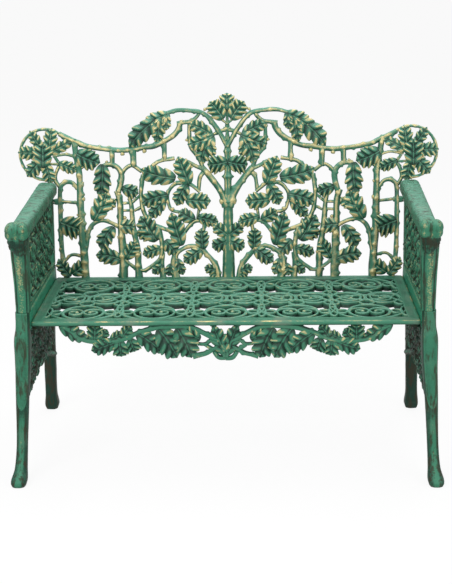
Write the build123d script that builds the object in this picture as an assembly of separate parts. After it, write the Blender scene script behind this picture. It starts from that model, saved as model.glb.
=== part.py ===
from build123d import *
import math
import os

# ---------------------------------------------------------------------------
# Cast-metal garden bench.  Millimetres, +X along the seat, +Y to the back,
# +Z up.  The origin is on the ground, at the middle of the bench's box.
# ---------------------------------------------------------------------------

# Driving dimensions
SEAT_HEIGHT = 430.0
SEAT_HALF = 503.0
SEAT_FRONT = -200.0
SEAT_REAR = 209.0
BACK_RECLINE = 8.0
BACK_Y = 216.0
ARM_TOP = 709.0
SEAM_HEIGHT = 461.0
GRID = 2.86

# Seat casting
RIM_THICK = 12.0
RIM_FRONT = 34.0
RIM_REAR = 24.0
RIM_SIDE = 30.0
RIB_DEPTH = 18.0
RIB_WIDTH = 7.0
NOSE_RADIUS = 5.0
REAR_FLANGE = 34.0
REAR_FLANGE_THICK = 8.0
REAR_FLANGE_GAP = 4.0

# Pierced pattern of the seat
SEAT_COLUMNS = 5
ROW_SHARE = 0.345
END_RING = 54.0
MIDDLE_RING = 46.0
ARCH_RADIUS, ARCH_SET = 102.0, 40.0
LENS = (11.0, 37.4)
LARGE_BEAD, LARGE_BEAD_ROW = 20.0, 42.0
SMALL_BEAD, SMALL_BEAD_SET = 14.0, 72.0
END_SCROLL = (30.0, 7.0, 1.4)
END_SCROLL_SET = 23.0
MIDDLE_SCROLL = (46.0, 9.0, 1.6)
SCROLL_POINTS = 10
SCROLL_TAPER = 0.8

# Back casting
BACK_THICK = 12.0
BACK_RAIL_THICK = 14.0
BACK_RAIL_HEIGHT = 32.0
BACK_RAIL_DROP = 2.0
BACK_TRIM = 5.6
BACK_LUG = (470.0, 205.0, 229.0)
BACK_LUG_THICK = 18.0
ROSETTE = (182.5, 123.8)
ROSETTE_RADIUS = 25.2
ROSETTE_RING = 3.2
ROSETTE_ARC = (-104, 150, 9)

# Leaves: how much fuller the blade is than its drawn width, and how its edge runs
LEAF_FULLNESS = 1.4
LEAF_TEETH = 3
LEAF_NOTCH = 0.8
TOOTH_STEPS = (0.35, 0.85)

# Apron casting
APRON_Y = -192.0
APRON_THICK = 10.0
APRON_CELL_X = 2.58
APRON_CELL_Z = 2.81
APRON_LUG_X = (31.0, 142.0, 338.0)
APRON_LUG = (20.0, 20.0, 8.0)
APRON_LUG_SET = 6.0
APRON_ABOVE = 40.0

# End castings
ARM_X = 504.0
ARM_WIDTH = 46.0
ARM_REAR_X = 516.0
ARM_REAR_WIDTH = 58.0
ARM_DEPTH = 44.0
ARM_CORNER = 20.0
ARM_FRONT = -266.0
LIMB_CORNER = 0.38
PANEL_THICK = 12.0
ARM_PANEL_X = 509.0
SKIRT_X = 522.0
POST_Y = -205.0
PANEL_RAIL = 14.0
PANEL_REAR = 222.0
PANEL_LAP = 4.0
VINE_WIDTH = 11.0
VINE_TAPER = 0.75
BLADE_SPACING = 0.62
BLADE_REACH = (0.82, 0.57)
BLADE_FOOT = 0.3
ARM_VINE = (10.0, 56.0, 34.0)
SKIRT_VINE = (8.0, 50.0, 30.0)
ARM_SCROLL = [(POST_Y, 495), (-130, 535), (-40, 625), (80, 615), (170, 535), (224, 505)]
SKIRT_SCROLL = [(POST_Y, 390), (-130, 330), (-40, 375), (60, 330), (140, 370), (225, 330)]
SKIRT_EDGE_WIDTH = 14.0
SKIRT_BOUNDS = ((-208.0, 228.0), (170.0, 438.0))
ARM_VINES = (-150.0, -90.0, -30.0, 30.0, 90.0, 150.0)
ARM_REAR = 236.0
POST_SECTIONS = [(518.5, -205, 461, 38, 36), (516.5, -207, 540, 41, 38), (516, -212, 620, 46, 44),
                 (515, -216, 680, 49, 50)]
HEAD_BALLS = [((-5, -268, 690), 21), ((17, -268, 690), 21), ((6, -272, 664), 24), ((4, -262, 640), 15)]
UPRIGHT_X = 518.0
UPRIGHT_SIZE = (30.0, 34.0)
UPRIGHT_SET = 1.0
UPRIGHT_LENGTH = 264.0
STUD_X = 517.0
STUD_REAR_Y = 221.0
RAIL_INNER = SEAT_HALF
RAIL_OUTER = 529.0
LEDGE_INNER = 474.0
LEDGE_BOTTOM = 406.0
LEDGE_SPANS = ((-190.0, -107.0), (-73.0, 78.0), (112.0, 200.0))
LEG_PAD = (34.0, 30.0, 390.0)
RAIL_BOLT_Z = 408.0
SKIRT_VINES = (-150.0, -85.0, -20.0, 45.0, 110.0, 170.0)
SKIRT_LOW = 247.0
SKIRT_EDGE = [(-203, 232), (-120, 243), (-47, 254), (40, 250), (130, 226), (228, 188)]
FRONT_LEG = [(521, -205, 461, 36, 36), (522, -208, 420, 36, 40), (523.5, -213, 385, 43, 48),
             (527.5, -210, 310, 40, 42), (534.5, -208, 225, 35, 34), (538.5, -213, 150, 31, 30),
             (541.5, -224, 85, 30, 29), (543.5, -243, 40, 33, 38), (547, -262, 14, 43, 56),
             (547, -263, 0, 37, 48)]
REAR_LEG = [(520.5, 222, 461, 33, 34), (521.5, 223, 400, 34, 34), (533, 228, 300, 36, 36),
            (539, 240, 140, 35, 34), (543, 254, 60, 34, 34), (545, 270, 14, 42, 50), (545, 270, 0, 36, 44)]

# Bearers under the seat
BEARER_Y = (-90.0, 95.0)
BEARER_WIDTH = 30.0
BEARER_THICK = 8.0
BEARER_TAB = 38.0
BEARER_BOLT_Z = 388.0
BOSS_RADIUS = 15.0

# Fasteners
M6, M8, M10 = 6.0, 8.0, 10.0
HEX_REACH, HEAD_HEIGHT, NUT_HEIGHT = 0.92, 0.65, 0.8
CLEARANCE = 1.0
TAPPED = 0.2
WASHER_THICK = 1.6
STUD_LENGTH = 60.0
SPOT_FACE = (10.0, 12.0)

UNDERSIDE = SEAT_HEIGHT - RIM_THICK
RIB_BOTTOM = SEAT_HEIGHT - RIB_DEPTH


def block(low, high):
    """A box between two opposite corners."""
    size = [b - a for a, b in zip(low, high)]
    return Pos(*low) * Box(*size, align=(Align.MIN, Align.MIN, Align.MIN))


# ---------------------------------------------------------------------------
# Foliage drawn in a plane
# ---------------------------------------------------------------------------
def stem(points, start_width, end_width=None):
    """A branch of tapering width along a curve through the points."""
    end_width = end_width or start_width
    line = Line(*points) if len(points) == 2 else Spline(*points)
    stations = 1 if len(points) == 2 else 2 * (len(points) - 1)
    left, right = [], []
    for i in range(stations + 1):
        t = i / stations
        half = (start_width + (end_width - start_width) * t) / 2
        side = (line % t).rotate(Axis.Z, 90) * half
        left.append(line @ t + side)
        right.insert(0, line @ t - side)
    if stations == 1:
        return make_face(Polyline(*left, *right, close=True))
    edges = [Spline(*left), Line(left[-1], right[0]), Spline(*right), Line(right[-1], left[0])]
    return make_face(Wire(edges))


def leaf(base, tip, width):
    """A toothed leaf blade from its base to its tip."""
    base, tip = Vector(*base), Vector(*tip)
    along = tip - base
    across = along.normalized().rotate(Axis.Z, 90) * (LEAF_FULLNESS * width / 2)

    def edge(side):
        outline = []
        for k in range(LEAF_TEETH):
            for step, depth in zip(TOOTH_STEPS, (1.0, LEAF_NOTCH)):
                s = (k + step) / (LEAF_TEETH + 0.15)
                swell = math.sin(math.pi * (0.12 + 0.88 * s) ** 0.8)
                outline.append(base + along * s + across * (side * swell * depth))
        return outline

    return make_face(Polyline(base, *edge(1), tip, *reversed(edge(-1)), close=True))


def knob(centre, radius):
    """A round bud or the scar of a cut twig."""
    return Pos(*centre) * Circle(radius)


def ring(centre, radius, width):
    """A round band about a centre."""
    return Pos(*centre) * (Circle(radius + width / 2) - Circle(radius - width / 2))


def merged(faces):
    """One sketch of all the overlapping faces."""
    return Sketch() + [face for face in faces]


# ---------------------------------------------------------------------------
# Back casting.  It is drawn on a squared grid: u runs outward from the middle
# line and v up the panel from the seat, in squares of GRID millimetres.
# ---------------------------------------------------------------------------
BACK_STEMS = [
    # outer frame: post, stile with its arch, cross bars, top rail
    ([(154, 139), (151.2, 122), (148.8, 106), (148.6, 92), (148.4, 78), (148.2, 60), (147.6, 42),
      (146.3, 25), (145.7, 10), (145.2, -2)], 5.6, 8.5),
    ([(151, 89), (155, 94.5), (160, 96.4), (165, 95), (168.5, 89), (169, 65), (168.6, 25),
      (165, -2)], 4, 5.2),
    ([(168, 77), (149, 75)], 3.2, 3.2),
    ([(166, 16), (161, 21.5), (156, 22.8), (149, 21)], 3.2, 3.2),
    ([(168, 144.3), (160, 140.3), (150, 136), (142, 132.2), (126, 129.3), (105, 127.3), (84, 130),
      (73, 131.6), (62, 136.6), (53.5, 142), (48.6, 148), (47, 153.5)], 4.6, 5.8),
    ([(50, 153.5), (43, 154.4), (36, 155.4), (30, 160), (27, 165)], 4.2, 3.8),
    ([(60, 163.5), (52, 166), (44, 166.6), (36, 165.8), (29.5, 165), (23.5, 163), (18.6, 159.2),
      (13.4, 152.6), (8.4, 145.4), (4.2, 138), (0, 130)], 4, 5),
    # ties between the post, the stile and the rosette
    ([(175, 121.8), (162, 123.9), (151.5, 121.2)], 2.6, 3),
    ([(172.8, 121), (168.5, 114.5)], 3, 3),
    ([(179, 114.5), (169, 114)], 2.6, 2.6),
    ([(169.2, 112), (172.6, 104.5), (173, 98), (169, 91)], 3.4, 3.8),
    ([(151, 125.5), (143, 127), (136, 128.5)], 4, 3.4),
    # drops, arches and links under the rail
    ([(115.6, 129), (115.6, 112)], 5.2, 5.2),
    ([(94.3, 129), (94, 111)], 6, 6),
    ([(62.8, 136.5), (62.8, 116)], 5, 5),
    ([(128, 110), (121, 113.4), (114.4, 113), (109, 109), (106.4, 103), (107.4, 94.3),
      (110.5, 84)], 4.6, 6),
    ([(106.4, 103), (103.5, 108), (99, 111.6), (94.5, 112), (86, 106)], 4.2, 3.8),
    ([(149, 108.5), (142, 113), (134, 114.5)], 3.2, 3),
    ([(78, 108.6), (72.7, 113.6), (66.9, 116.6), (53, 119)], 4, 4),
    ([(40, 116), (37.3, 114.4), (31, 110.8), (24, 108)], 3.6, 4),
    ([(25, 109.5), (18.6, 102), (10.6, 91.4), (5, 81.4), (2, 70)], 6, 7.4),
    ([(24, 105), (27.8, 99), (29, 88)], 4.8, 3.4),
    ([(37.5, 156.5), (37.8, 143), (36.4, 130), (28.6, 119.5), (24, 107)], 3.8, 4.4),
    # posts that rise from the seat
    ([(112, 87), (108.8, 76), (108.4, 55), (107.6, 36), (106.8, 12), (106.6, -2)], 5.6, 8.8),
    ([(99, 82), (97.2, 71), (96.6, 60), (94.8, 44), (92, 28), (91.6, 12), (91, -2)], 3.8, 7.8),
    ([(108, 74.7), (97, 74.7)], 2.8, 2.8),
    ([(108, 67), (96, 67.5)], 2.8, 2.8),
    ([(96.5, 75), (88, 82.5)], 2.8, 2.8),
    ([(94.5, 66.8), (85, 72)], 2.8, 2.8),
    # vines and scrolls
    ([(85, 103), (86.6, 92), (87.4, 82), (85.6, 68), (80.8, 58), (75.4, 52.8), (66.6, 49),
      (58, 46)], 4.4, 4.4),
    ([(52, 94.6), (45, 94.6), (38.3, 93.6), (28, 85.5)], 4, 4),
    ([(49, 94.8), (55.5, 91.5), (60.6, 83), (59.6, 73), (56.5, 67), (48.6, 65)], 3.8, 3.4),
    ([(146.5, 18), (143.4, 32), (141.6, 44), (137, 53), (128.4, 57.4), (119, 55.4), (108, 49.5)], 4.8, 4),
    ([(105.3, 17.1), (99.7, 12.7), (94.5, 9), (89.3, 6.8), (84.9, 6.4), (79, 9.8), (73, 14), (69.4, 18),
      (67.4, 23.6), (67, 30.5), (67.8, 38.6), (70.4, 49.5)], 3.4, 5),
    ([(10.4, -2), (12, 8), (15, 13.6), (18.6, 18.6), (22.4, 22.6), (26.2, 27), (31.4, 29.6), (37.6, 30.4),
      (43.8, 28.8), (50, 25), (52.6, 21), (52.2, 15), (49, 5)], 5.6, 3.6),
    ([(9, 51), (16, 53), (28, 56.2), (34.5, 55.4), (40.5, 49.5), (45, 43)], 4, 4.2),
    ([(28.8, 71), (31.2, 56)], 3, 3),
    ([(23.6, 56), (25.5, 40)], 3.6, 3.2),
    ([(53.5, 24), (55.5, 12), (53, -2)], 5, 9),
    ([(66, 24), (67.5, 12), (66, -2)], 4.6, 7),
    ([(14.5, 142), (7, 145.6), (-4, 148)], 3.4, 4),
    ([(0, 152.5), (3.4, 155.4), (8, 158.2), (15, 159)], 2.4, 2.2),
]
TRUNK = [((0, 168), (0, 132), 4, 6.4), ((0, 133), (0, 100), 8.6, 7.6), ((0, 101), (0, 66), 7.6, 10),
         ((0, 67), (0, -2), 10, 12.4)]
BACK_KNOBS = [((145.5, 79), 2.2), ((109.5, 84), 2.6), ((105, 124), 2.2), ((83, 126), 2.2),
              ((7, 75), 2.6), ((6.5, 98), 3.4), ((56, 68), 2.2)]
BACK_LEAVES = [
    # top fan and crown
    ((57, 162.5), (83, 151), 12), ((70, 157), (98, 130), 14.5), ((65, 161), (71, 133.8), 10),
    ((60, 163.5), (60.6, 146.5), 7.4), ((15, 141.5), (38.5, 153.5), 11), ((13, 141.5), (40, 132.5), 12.5),
    ((14.5, 141), (26, 112), 12.5), ((16.4, 139), (14.6, 118), 7), ((0, 150), (0, 183.6), 14),
    ((0, 151), (17.2, 174.8), 13.5),
    # under the rail
    ((152, 125), (127.6, 115), 15), ((125, 114), (128.8, 80.5), 13.6), ((135.5, 57), (121, 88), 14.5),
    ((131, 70), (112, 79), 9), ((52, 99), (87.4, 108.6), 14.6), ((38.6, 93), (49.6, 121), 13.4),
    ((42.5, 77.5), (17, 76), 13.2), ((40.5, 92.5), (51.5, 71.5), 11), ((33.5, 57), (49.5, 66.5), 11),
    ((47.4, 31), (57.2, 65), 13.6), ((31, 60), (9.5, 54.6), 10.5),
    # low foliage
    ((115.4, 51), (128, 26.6), 12.2), ((169, 55.5), (148.6, 47.4), 18), ((161, 0), (173, 18.5), 10),
    ((159, 3), (145, 14), 12.5), ((26, 28), (45.6, 14), 11.5), ((11, 5.5), (24.6, 9), 8),
    ((9, 1.5), (20, 2), 6), ((26, 27), (27, 49), 11.2), ((60, 82.4), (87.5, 73.4), 13),
    ((63, 77), (80, 59.4), 10), ((106, 90), (89.5, 84), 10.8), ((111, 51.8), (93, 50.5), 12),
    ((72, 36), (88.6, 61.5), 15), ((70, 40.6), (93, 44.6), 11), ((103.5, 18), (92, 36.4), 10.5),
    ((108, 17), (134.4, 22.4), 13), ((67.5, 29), (87, 22.6), 10), ((64, 37), (52, 23), 11),
    ((66, 12), (77.4, 3), 7.4), ((52, 18), (46, 1), 8), ((58, 13), (61, 0), 8),
    # on the trunk
    ((0, 115), (20.4, 112.6), 14), ((0, 41), (15, 52.6), 10), ((0, 36), (16.6, 29), 11),
]
ROSETTE_LEAVES = [
    ((-4, 3), (-7.4, 26.4), 11), ((3, 5), (15.3, 24), 8.8), ((5, 1.4), (27.5, 2.2), 11),
    ((3, -5), (19, -22), 11.4), ((-0.5, -8.8), (-5.2, -29.4), 10.6), ((-4, 0.7), (-29.4, 14.7), 8.4),
    ((-13.4, -8.8), (-32.4, -16.4), 9.4), ((1.8, -13.2), (1.6, 12.2), 14.5),
]


def on_grid(point):
    return (point[0] * GRID, point[1] * GRID)


def grid_stem(points, start, end):
    return stem([on_grid(p) for p in points], start * GRID, end * GRID)


def grid_leaf(base, tip, width):
    return leaf(on_grid(base), on_grid(tip), width * GRID)


def rosette_faces():
    """The pierced wheel of leaves above each arm: its rim is open towards the post."""
    u, v = ROSETTE
    first, last, stations = ROSETTE_ARC
    turns = [math.radians(first + (last - first) * k / (stations - 1)) for k in range(stations)]
    rim = [(u + ROSETTE_RADIUS * math.cos(turn), v + ROSETTE_RADIUS * math.sin(turn)) for turn in turns]
    wheel = grid_stem(rim, ROSETTE_RING, ROSETTE_RING)
    leaves = [grid_leaf((u + a, v + b), (u + c, v + d), width)
              for (a, b), (c, d), width in ROSETTE_LEAVES]
    return [wheel] + leaves


def back_half():
    """Right half of the back's foliage: branches, buds, leaves and the rosette."""
    branches = [grid_stem(*entry) for entry in BACK_STEMS]
    branches += [grid_stem([a, b], start, end) for a, b, start, end in TRUNK]
    branches += [knob(on_grid(centre), radius * GRID) for centre, radius in BACK_KNOBS]
    leaves = [grid_leaf(*entry) for entry in BACK_LEAVES]
    return merged(branches + leaves + rosette_faces())


def back_plane():
    """The panel's own plane, leaning back from the seat."""
    return Plane(origin=(0, BACK_Y, SEAT_HEIGHT), x_dir=(1, 0, 0),
                 z_dir=Vector(0, -1, 0).rotate(Axis.X, -BACK_RECLINE))


def back_rail():
    top, half = SEAT_HEIGHT - BACK_RAIL_DROP, BACK_RAIL_THICK / 2
    return block((-SEAT_HALF, BACK_Y - half, top - BACK_RAIL_HEIGHT), (SEAT_HALF, BACK_Y + half, top))


def back_lug():
    """The ear on the outer stile that each arm's upright is bolted to."""
    inner, low, high = BACK_LUG
    return block((inner, low, -BACK_LUG_THICK / 2), (SEAT_HALF, high, BACK_LUG_THICK / 2))


def back_panel():
    half = back_half()
    below = Pos(0, -BACK_TRIM - SEAT_HEIGHT / 2) * Rectangle(2 * SEAT_HALF, SEAT_HEIGHT)
    whole = half + mirror(half, Plane.YZ) - below
    panel = Pos(0, 0, -BACK_THICK / 2) * extrude(whole, BACK_THICK)
    ears = back_lug() + mirror(back_lug(), Plane.YZ)
    body = back_plane() * panel + back_plane() * ears + back_rail()
    return body - drilled(both_ends(end_bolt_places()), TAPPED) - drilled(rail_bolt_places(), CLEARANCE)


# ---------------------------------------------------------------------------
# Seat casting: a flat rim round rings, arches and scrolls
# ---------------------------------------------------------------------------
def scroll(centre, size, turn, start):
    """A spiral rib that leaves a wall and curls in to a round eye."""
    outer, eye, turns = size
    points = []
    for k in range(SCROLL_POINTS + 1):
        t = k / SCROLL_POINTS
        reach, angle = outer + (eye - outer) * t, start + turn * turns * 2 * math.pi * t
        points.append((centre[0] + reach * math.cos(angle), centre[1] + reach * math.sin(angle)))
    return [stem(points, RIB_WIDTH, SCROLL_TAPER * RIB_WIDTH), knob(points[-1], RIB_WIDTH)]


def lens(centre):
    """A slender pointed ring between two columns."""
    x_radius, y_radius = LENS
    half = RIB_WIDTH / 2
    band = Ellipse(x_radius + half, y_radius + half) - Ellipse(x_radius - half, y_radius - half)
    return Pos(*centre) * band


def seat_lattice():
    """Columns of rings filled with scrolls, wide arches round them, and beads in the gaps."""
    low, high = SEAT_FRONT + RIM_FRONT, SEAT_REAR - RIM_REAR
    pitch = 2 * (SEAT_HALF - RIM_SIDE) / SEAT_COLUMNS
    middle, row = (low + high) / 2, ROW_SHARE * (high - low)
    faces = []
    for inward in (1, -1):
        y = middle - inward * row
        for column in range(SEAT_COLUMNS):
            x = (column - (SEAT_COLUMNS - 1) / 2) * pitch
            faces.append(ring((x, y), END_RING, RIB_WIDTH))
            faces.append(ring((x, y + inward * ARCH_SET), ARCH_RADIUS, RIB_WIDTH))
            for side in (1, -1):
                start = 0 if side > 0 else math.pi
                faces += scroll((x + side * END_SCROLL_SET, y), END_SCROLL, side * inward, start)
                faces.append(ring((x + side * SMALL_BEAD_SET, y), SMALL_BEAD, RIB_WIDTH))
        faces += [lens(((line - SEAT_COLUMNS / 2) * pitch, y)) for line in range(SEAT_COLUMNS + 1)]
        bead_y = middle - inward * LARGE_BEAD_ROW
        faces += [ring(((bead - SEAT_COLUMNS) * pitch / 2, bead_y), LARGE_BEAD, RIB_WIDTH)
                  for bead in range(2 * SEAT_COLUMNS + 1)]
    for link in range(2 * SEAT_COLUMNS):
        centre, turn = ((link + 0.5 - SEAT_COLUMNS) * pitch / 2, middle), 1 if link % 2 else -1
        faces.append(ring(centre, MIDDLE_RING, RIB_WIDTH))
        faces += scroll(centre, MIDDLE_SCROLL, turn, 0 if link % 2 else math.pi)
    return merged(faces)


def seat_panel():
    depth = SEAT_REAR - SEAT_FRONT
    middle = (SEAT_FRONT + SEAT_REAR) / 2
    outer = Pos(0, middle) * Rectangle(2 * SEAT_HALF, depth)
    window_y = (SEAT_FRONT + RIM_FRONT + SEAT_REAR - RIM_REAR) / 2
    window = Pos(0, window_y) * Rectangle(2 * (SEAT_HALF - RIM_SIDE), depth - RIM_FRONT - RIM_REAR)
    rim = Pos(0, 0, UNDERSIDE) * extrude(outer - window, RIM_THICK)
    rim = fillet(rim.edges().filter_by(Axis.X).group_by(Axis.Y)[0], NOSE_RADIUS)
    lattice = Pos(0, 0, RIB_BOTTOM) * extrude(seat_lattice() & window, RIB_DEPTH)
    reach = LEDGE_INNER - REAR_FLANGE_GAP
    flange = block((-reach, SEAT_REAR - REAR_FLANGE_THICK, SEAT_HEIGHT - REAR_FLANGE),
                   (reach, SEAT_REAR, SEAT_HEIGHT))
    body = rim + lattice + flange
    return (body - drilled(seat_bolt_places(), TAPPED) - drilled(rail_bolt_places(), CLEARANCE)
            - drilled(apron_screw_places(), TAPPED))


# ---------------------------------------------------------------------------
# Apron casting under the seat's front edge: u outward from the middle, d down
# from the seat, in cells of its own drawing.
# ---------------------------------------------------------------------------
APRON_STEMS = [
    ([(166, 5), (157, 8.7), (149.3, 15.7), (141.5, 18.9), (131.7, 20.3), (119, 20.7), (108, 19.6),
      (98, 16.4), (90.3, 12.9), (79.8, 9.4), (69.3, 7), (61, 6.2), (46.5, 5.8), (33.5, 7), (22.8, 11.8),
      (16.8, 14.8), (11, 18), (5, 21.4), (2, 28.8), (0.4, 36)], 4.4, 5.2),
    ([(33, 35.8), (25, 33.8), (18, 31.8), (8, 26), (0, 21)], 5, 4),
    ([(13, 18), (20, 23.2), (28, 23.2)], 3.6, 3.6),
    ([(20.5, 24), (12.5, 29)], 4, 4),
    ([(11.5, 31), (7, 36.5), (0, 37.3)], 4.4, 4.4),
    ([(97, 17), (92.5, 26)], 3, 2.8),
]
APRON_LEAVES = [
    ((167, 3.4), (137.4, 18), 11.4), ((131.7, 20), (131, 3.4), 13), ((127, 19), (119, 9.4), 8),
    ((116, 19), (103.8, 12.6), 8), ((104, 18), (94, 6), 9.5), ((111, 21), (136, 29.4), 12.2),
    ((107, 19), (105.6, 36), 12.4), ((96, 18), (91.6, 30.6), 12), ((89, 12), (63, 32.4), 13.4),
    ((67, 8), (49, 37.8), 18), ((48, 7.5), (34.5, 37.8), 18), ((25, 18.5), (44, 9), 11),
    ((0, 34), (12, 3.6), 13),
]


def apron_point(point):
    return (point[0] * APRON_CELL_X, -point[1] * APRON_CELL_Z)


def apron_half():
    scale_up = (APRON_CELL_X + APRON_CELL_Z) / 2
    faces = [stem([apron_point(p) for p in points], start * scale_up, end * scale_up)
             for points, start, end in APRON_STEMS]
    faces += [leaf(apron_point(base), apron_point(tip), width * scale_up)
              for base, tip, width in APRON_LEAVES]
    return merged(faces)


def apron():
    half = apron_half()
    whole = half + mirror(half, Plane.YZ)
    above = Pos(0, APRON_ABOVE / 2 - RIM_THICK) * Rectangle(2 * SEAT_HALF, APRON_ABOVE)
    plane = Plane(origin=(0, APRON_Y, SEAT_HEIGHT), x_dir=(1, 0, 0), z_dir=(0, -1, 0))
    body = plane * (Pos(0, 0, -APRON_THICK) * extrude(whole - above, APRON_THICK))
    width, depth, height = APRON_LUG
    for x in APRON_LUG_X:
        for side in (1, -1):
            front = APRON_Y + APRON_LUG_SET
            body += block((side * x - width / 2, front, UNDERSIDE - height),
                          (side * x + width / 2, front + depth, UNDERSIDE))
    return body - drilled(apron_screw_places(), CLEARANCE)


# ---------------------------------------------------------------------------
# End castings, drawn for the right end: the arm stands on the leg frame
# ---------------------------------------------------------------------------
def lofted(sections):
    """A limb through rounded rectangles: (x, y, z, width, depth)."""
    return loft([Pos(x, y, z) * RectangleRounded(width, depth, LIMB_CORNER * min(width, depth))
                 for x, y, z, width, depth in sections])


def vine(foot, low, high, turn, size):
    """A wavy upright branch with leaves to both sides in turn."""
    levels = 4
    sway, blade, width = turn * size[0], *size[1:]
    points = [(foot + sway * math.sin(k * math.pi / 2), low + (high - low) * k / levels)
              for k in range(levels + 1)]
    faces = [stem(points, VINE_WIDTH, VINE_WIDTH * VINE_TAPER)]
    count = max(2, round(abs(high - low) / (BLADE_SPACING * blade)))
    for k in range(count):
        side = 1 if k % 2 else -1
        y = foot + sway * math.sin(k * 2 * math.pi / count)
        z = low + (high - low) * (k + BLADE_FOOT) / count
        tip = (y + side * blade * BLADE_REACH[0], z + math.copysign(blade * BLADE_REACH[1], high - low))
        faces.append(leaf((y, z), tip, width))
    return faces


def side_plane(x):
    """A plane square to X: local x runs to the back, local y up."""
    return Plane(origin=(x - PANEL_THICK / 2, 0, 0), x_dir=(0, 1, 0), z_dir=(1, 0, 0))


def arm_rail():
    """The rounded rail of the arm, which widens outward to its rear end."""
    ends = ((ARM_X, ARM_FRONT, ARM_WIDTH), (ARM_REAR_X, ARM_REAR, ARM_REAR_WIDTH))
    return loft([Plane(origin=(x, y, ARM_TOP - ARM_DEPTH / 2), x_dir=(1, 0, 0), z_dir=(0, 1, 0))
                 * RectangleRounded(width, ARM_DEPTH, ARM_CORNER) for x, y, width in ends])


def arm_right():
    low, high = SEAM_HEIGHT + PANEL_RAIL, ARM_TOP - ARM_DEPTH
    faces = [stem(ARM_SCROLL, VINE_WIDTH, VINE_WIDTH)]
    for k, foot in enumerate(ARM_VINES):
        faces += vine(foot, low - PANEL_LAP, high + PANEL_LAP, 1 if k % 2 else -1, ARM_VINE)
    bounds = Pos((POST_Y + PANEL_REAR) / 2, (low + high) / 2) * Rectangle(
        PANEL_REAR - POST_Y, high - low + 2 * PANEL_LAP)
    body = side_plane(ARM_PANEL_X) * extrude(merged(faces) & bounds, PANEL_THICK)
    body += block((ARM_PANEL_X - PANEL_THICK / 2, POST_Y, SEAM_HEIGHT),
                  (ARM_PANEL_X + PANEL_THICK / 2, PANEL_REAR, low))
    body += lofted(POST_SECTIONS)
    body += arm_rail()
    for (x, y, z), radius in HEAD_BALLS:
        body += Pos(ARM_X + x, y, z) * Sphere(radius)
    width, depth = UPRIGHT_SIZE
    body += back_plane() * block((UPRIGHT_X - width / 2, 0, UPRIGHT_SET - depth / 2),
                                 (UPRIGHT_X + width / 2, UPRIGHT_LENGTH, UPRIGHT_SET + depth / 2))
    body -= block((UPRIGHT_X - width, BACK_Y - depth, 0),
                  (UPRIGHT_X + width, BACK_Y + 2 * depth, SEAM_HEIGHT))
    return body - drilled(stud_places(), TAPPED) - drilled(end_bolt_places()[:1], CLEARANCE)


def leg_frame_right():
    faces = [stem(SKIRT_EDGE, SKIRT_EDGE_WIDTH), stem(SKIRT_SCROLL, VINE_WIDTH)]
    for k, foot in enumerate(SKIRT_VINES):
        faces += vine(foot, UNDERSIDE + PANEL_LAP, SKIRT_LOW, 1 if k % 2 else -1, SKIRT_VINE)
    (front, rear), (low, high) = SKIRT_BOUNDS
    bounds = Pos((front + rear) / 2, (low + high) / 2) * Rectangle(rear - front, high - low)
    body = side_plane(SKIRT_X) * extrude(merged(faces) & bounds, PANEL_THICK)
    pad_width, pad_depth, pad_low = LEG_PAD
    seat_end = block((0, -SEAT_HALF, pad_low), (RAIL_INNER, SEAT_HALF, ARM_TOP))
    body += lofted(FRONT_LEG) - seat_end
    body += lofted(REAR_LEG) - seat_end
    body += block((RAIL_INNER, POST_Y, LEDGE_BOTTOM), (RAIL_OUTER, PANEL_REAR, SEAM_HEIGHT))
    body += block((RAIL_INNER, BACK_Y - pad_depth / 2, pad_low),
                  (RAIL_INNER + pad_width, BACK_Y + pad_depth / 2, SEAM_HEIGHT))
    for start, end in LEDGE_SPANS:
        body += block((LEDGE_INNER, start, LEDGE_BOTTOM), (RAIL_INNER, end, UNDERSIDE))
    for y in BEARER_Y:
        plane = Plane(origin=(RAIL_INNER, y, BEARER_BOLT_Z), x_dir=(0, 1, 0), z_dir=(1, 0, 0))
        body += extrude(plane * Circle(BOSS_RADIUS), SKIRT_X + PANEL_THICK / 2 - RAIL_INNER)
    point, direction = end_bolt_places()[1][:2]
    body -= place_frame(point, direction) * (Pos(0, 0, SPOT_FACE[1] / 2) * Cylinder(*SPOT_FACE))
    return (body - drilled(stud_places(), TAPPED) - drilled(end_bolt_places()[1:], CLEARANCE)
            - drilled(seat_bolt_places(), CLEARANCE) - drilled(bearer_bolt_places(), CLEARANCE))


def seat_bearer(y):
    """A flat bar whose ends are turned down and bolted to the leg frames."""
    half, inner = BEARER_WIDTH / 2, SEAT_HALF - BEARER_THICK
    bar = block((-SEAT_HALF, y - half, RIB_BOTTOM - BEARER_THICK), (SEAT_HALF, y + half, RIB_BOTTOM))
    for start, end in ((inner, SEAT_HALF), (-SEAT_HALF, -inner)):
        bar += block((start, y - half, RIB_BOTTOM - BEARER_TAB), (end, y + half, RIB_BOTTOM))
    return bar - drilled([place for place in bearer_bolt_places() if place[0][1] == y], CLEARANCE)


# ---------------------------------------------------------------------------
# Fasteners.  A place is the point under the washer, the way the head looks,
# the thread size and the length of the shank.
# ---------------------------------------------------------------------------
def both_ends(places):
    """The places, and their mirror images at the other end of the bench."""
    return places + [((-x, y, z), (-dx, dy, dz), size, length)
                     for (x, y, z), (dx, dy, dz), size, length in places]


def stud_places():
    middle = SEAM_HEIGHT + STUD_LENGTH / 2
    return both_ends([((STUD_X, y, middle), (0, 0, 1), M10, STUD_LENGTH) for y in (POST_Y, STUD_REAR_Y)])


def seat_bolt_places():
    x = (LEDGE_INNER + RAIL_INNER) / 2
    return both_ends([((x, y, LEDGE_BOTTOM), (0, 0, -1), M8, 20.0) for y in (-150.0, 150.0)])


def rail_bolt_places():
    rear = BACK_Y + BACK_RAIL_THICK / 2
    return [((x, rear, RAIL_BOLT_Z), (0, 1, 0), M8, 34.0) for x in (-400.0, -200.0, 0.0, 200.0, 400.0)]


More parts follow.
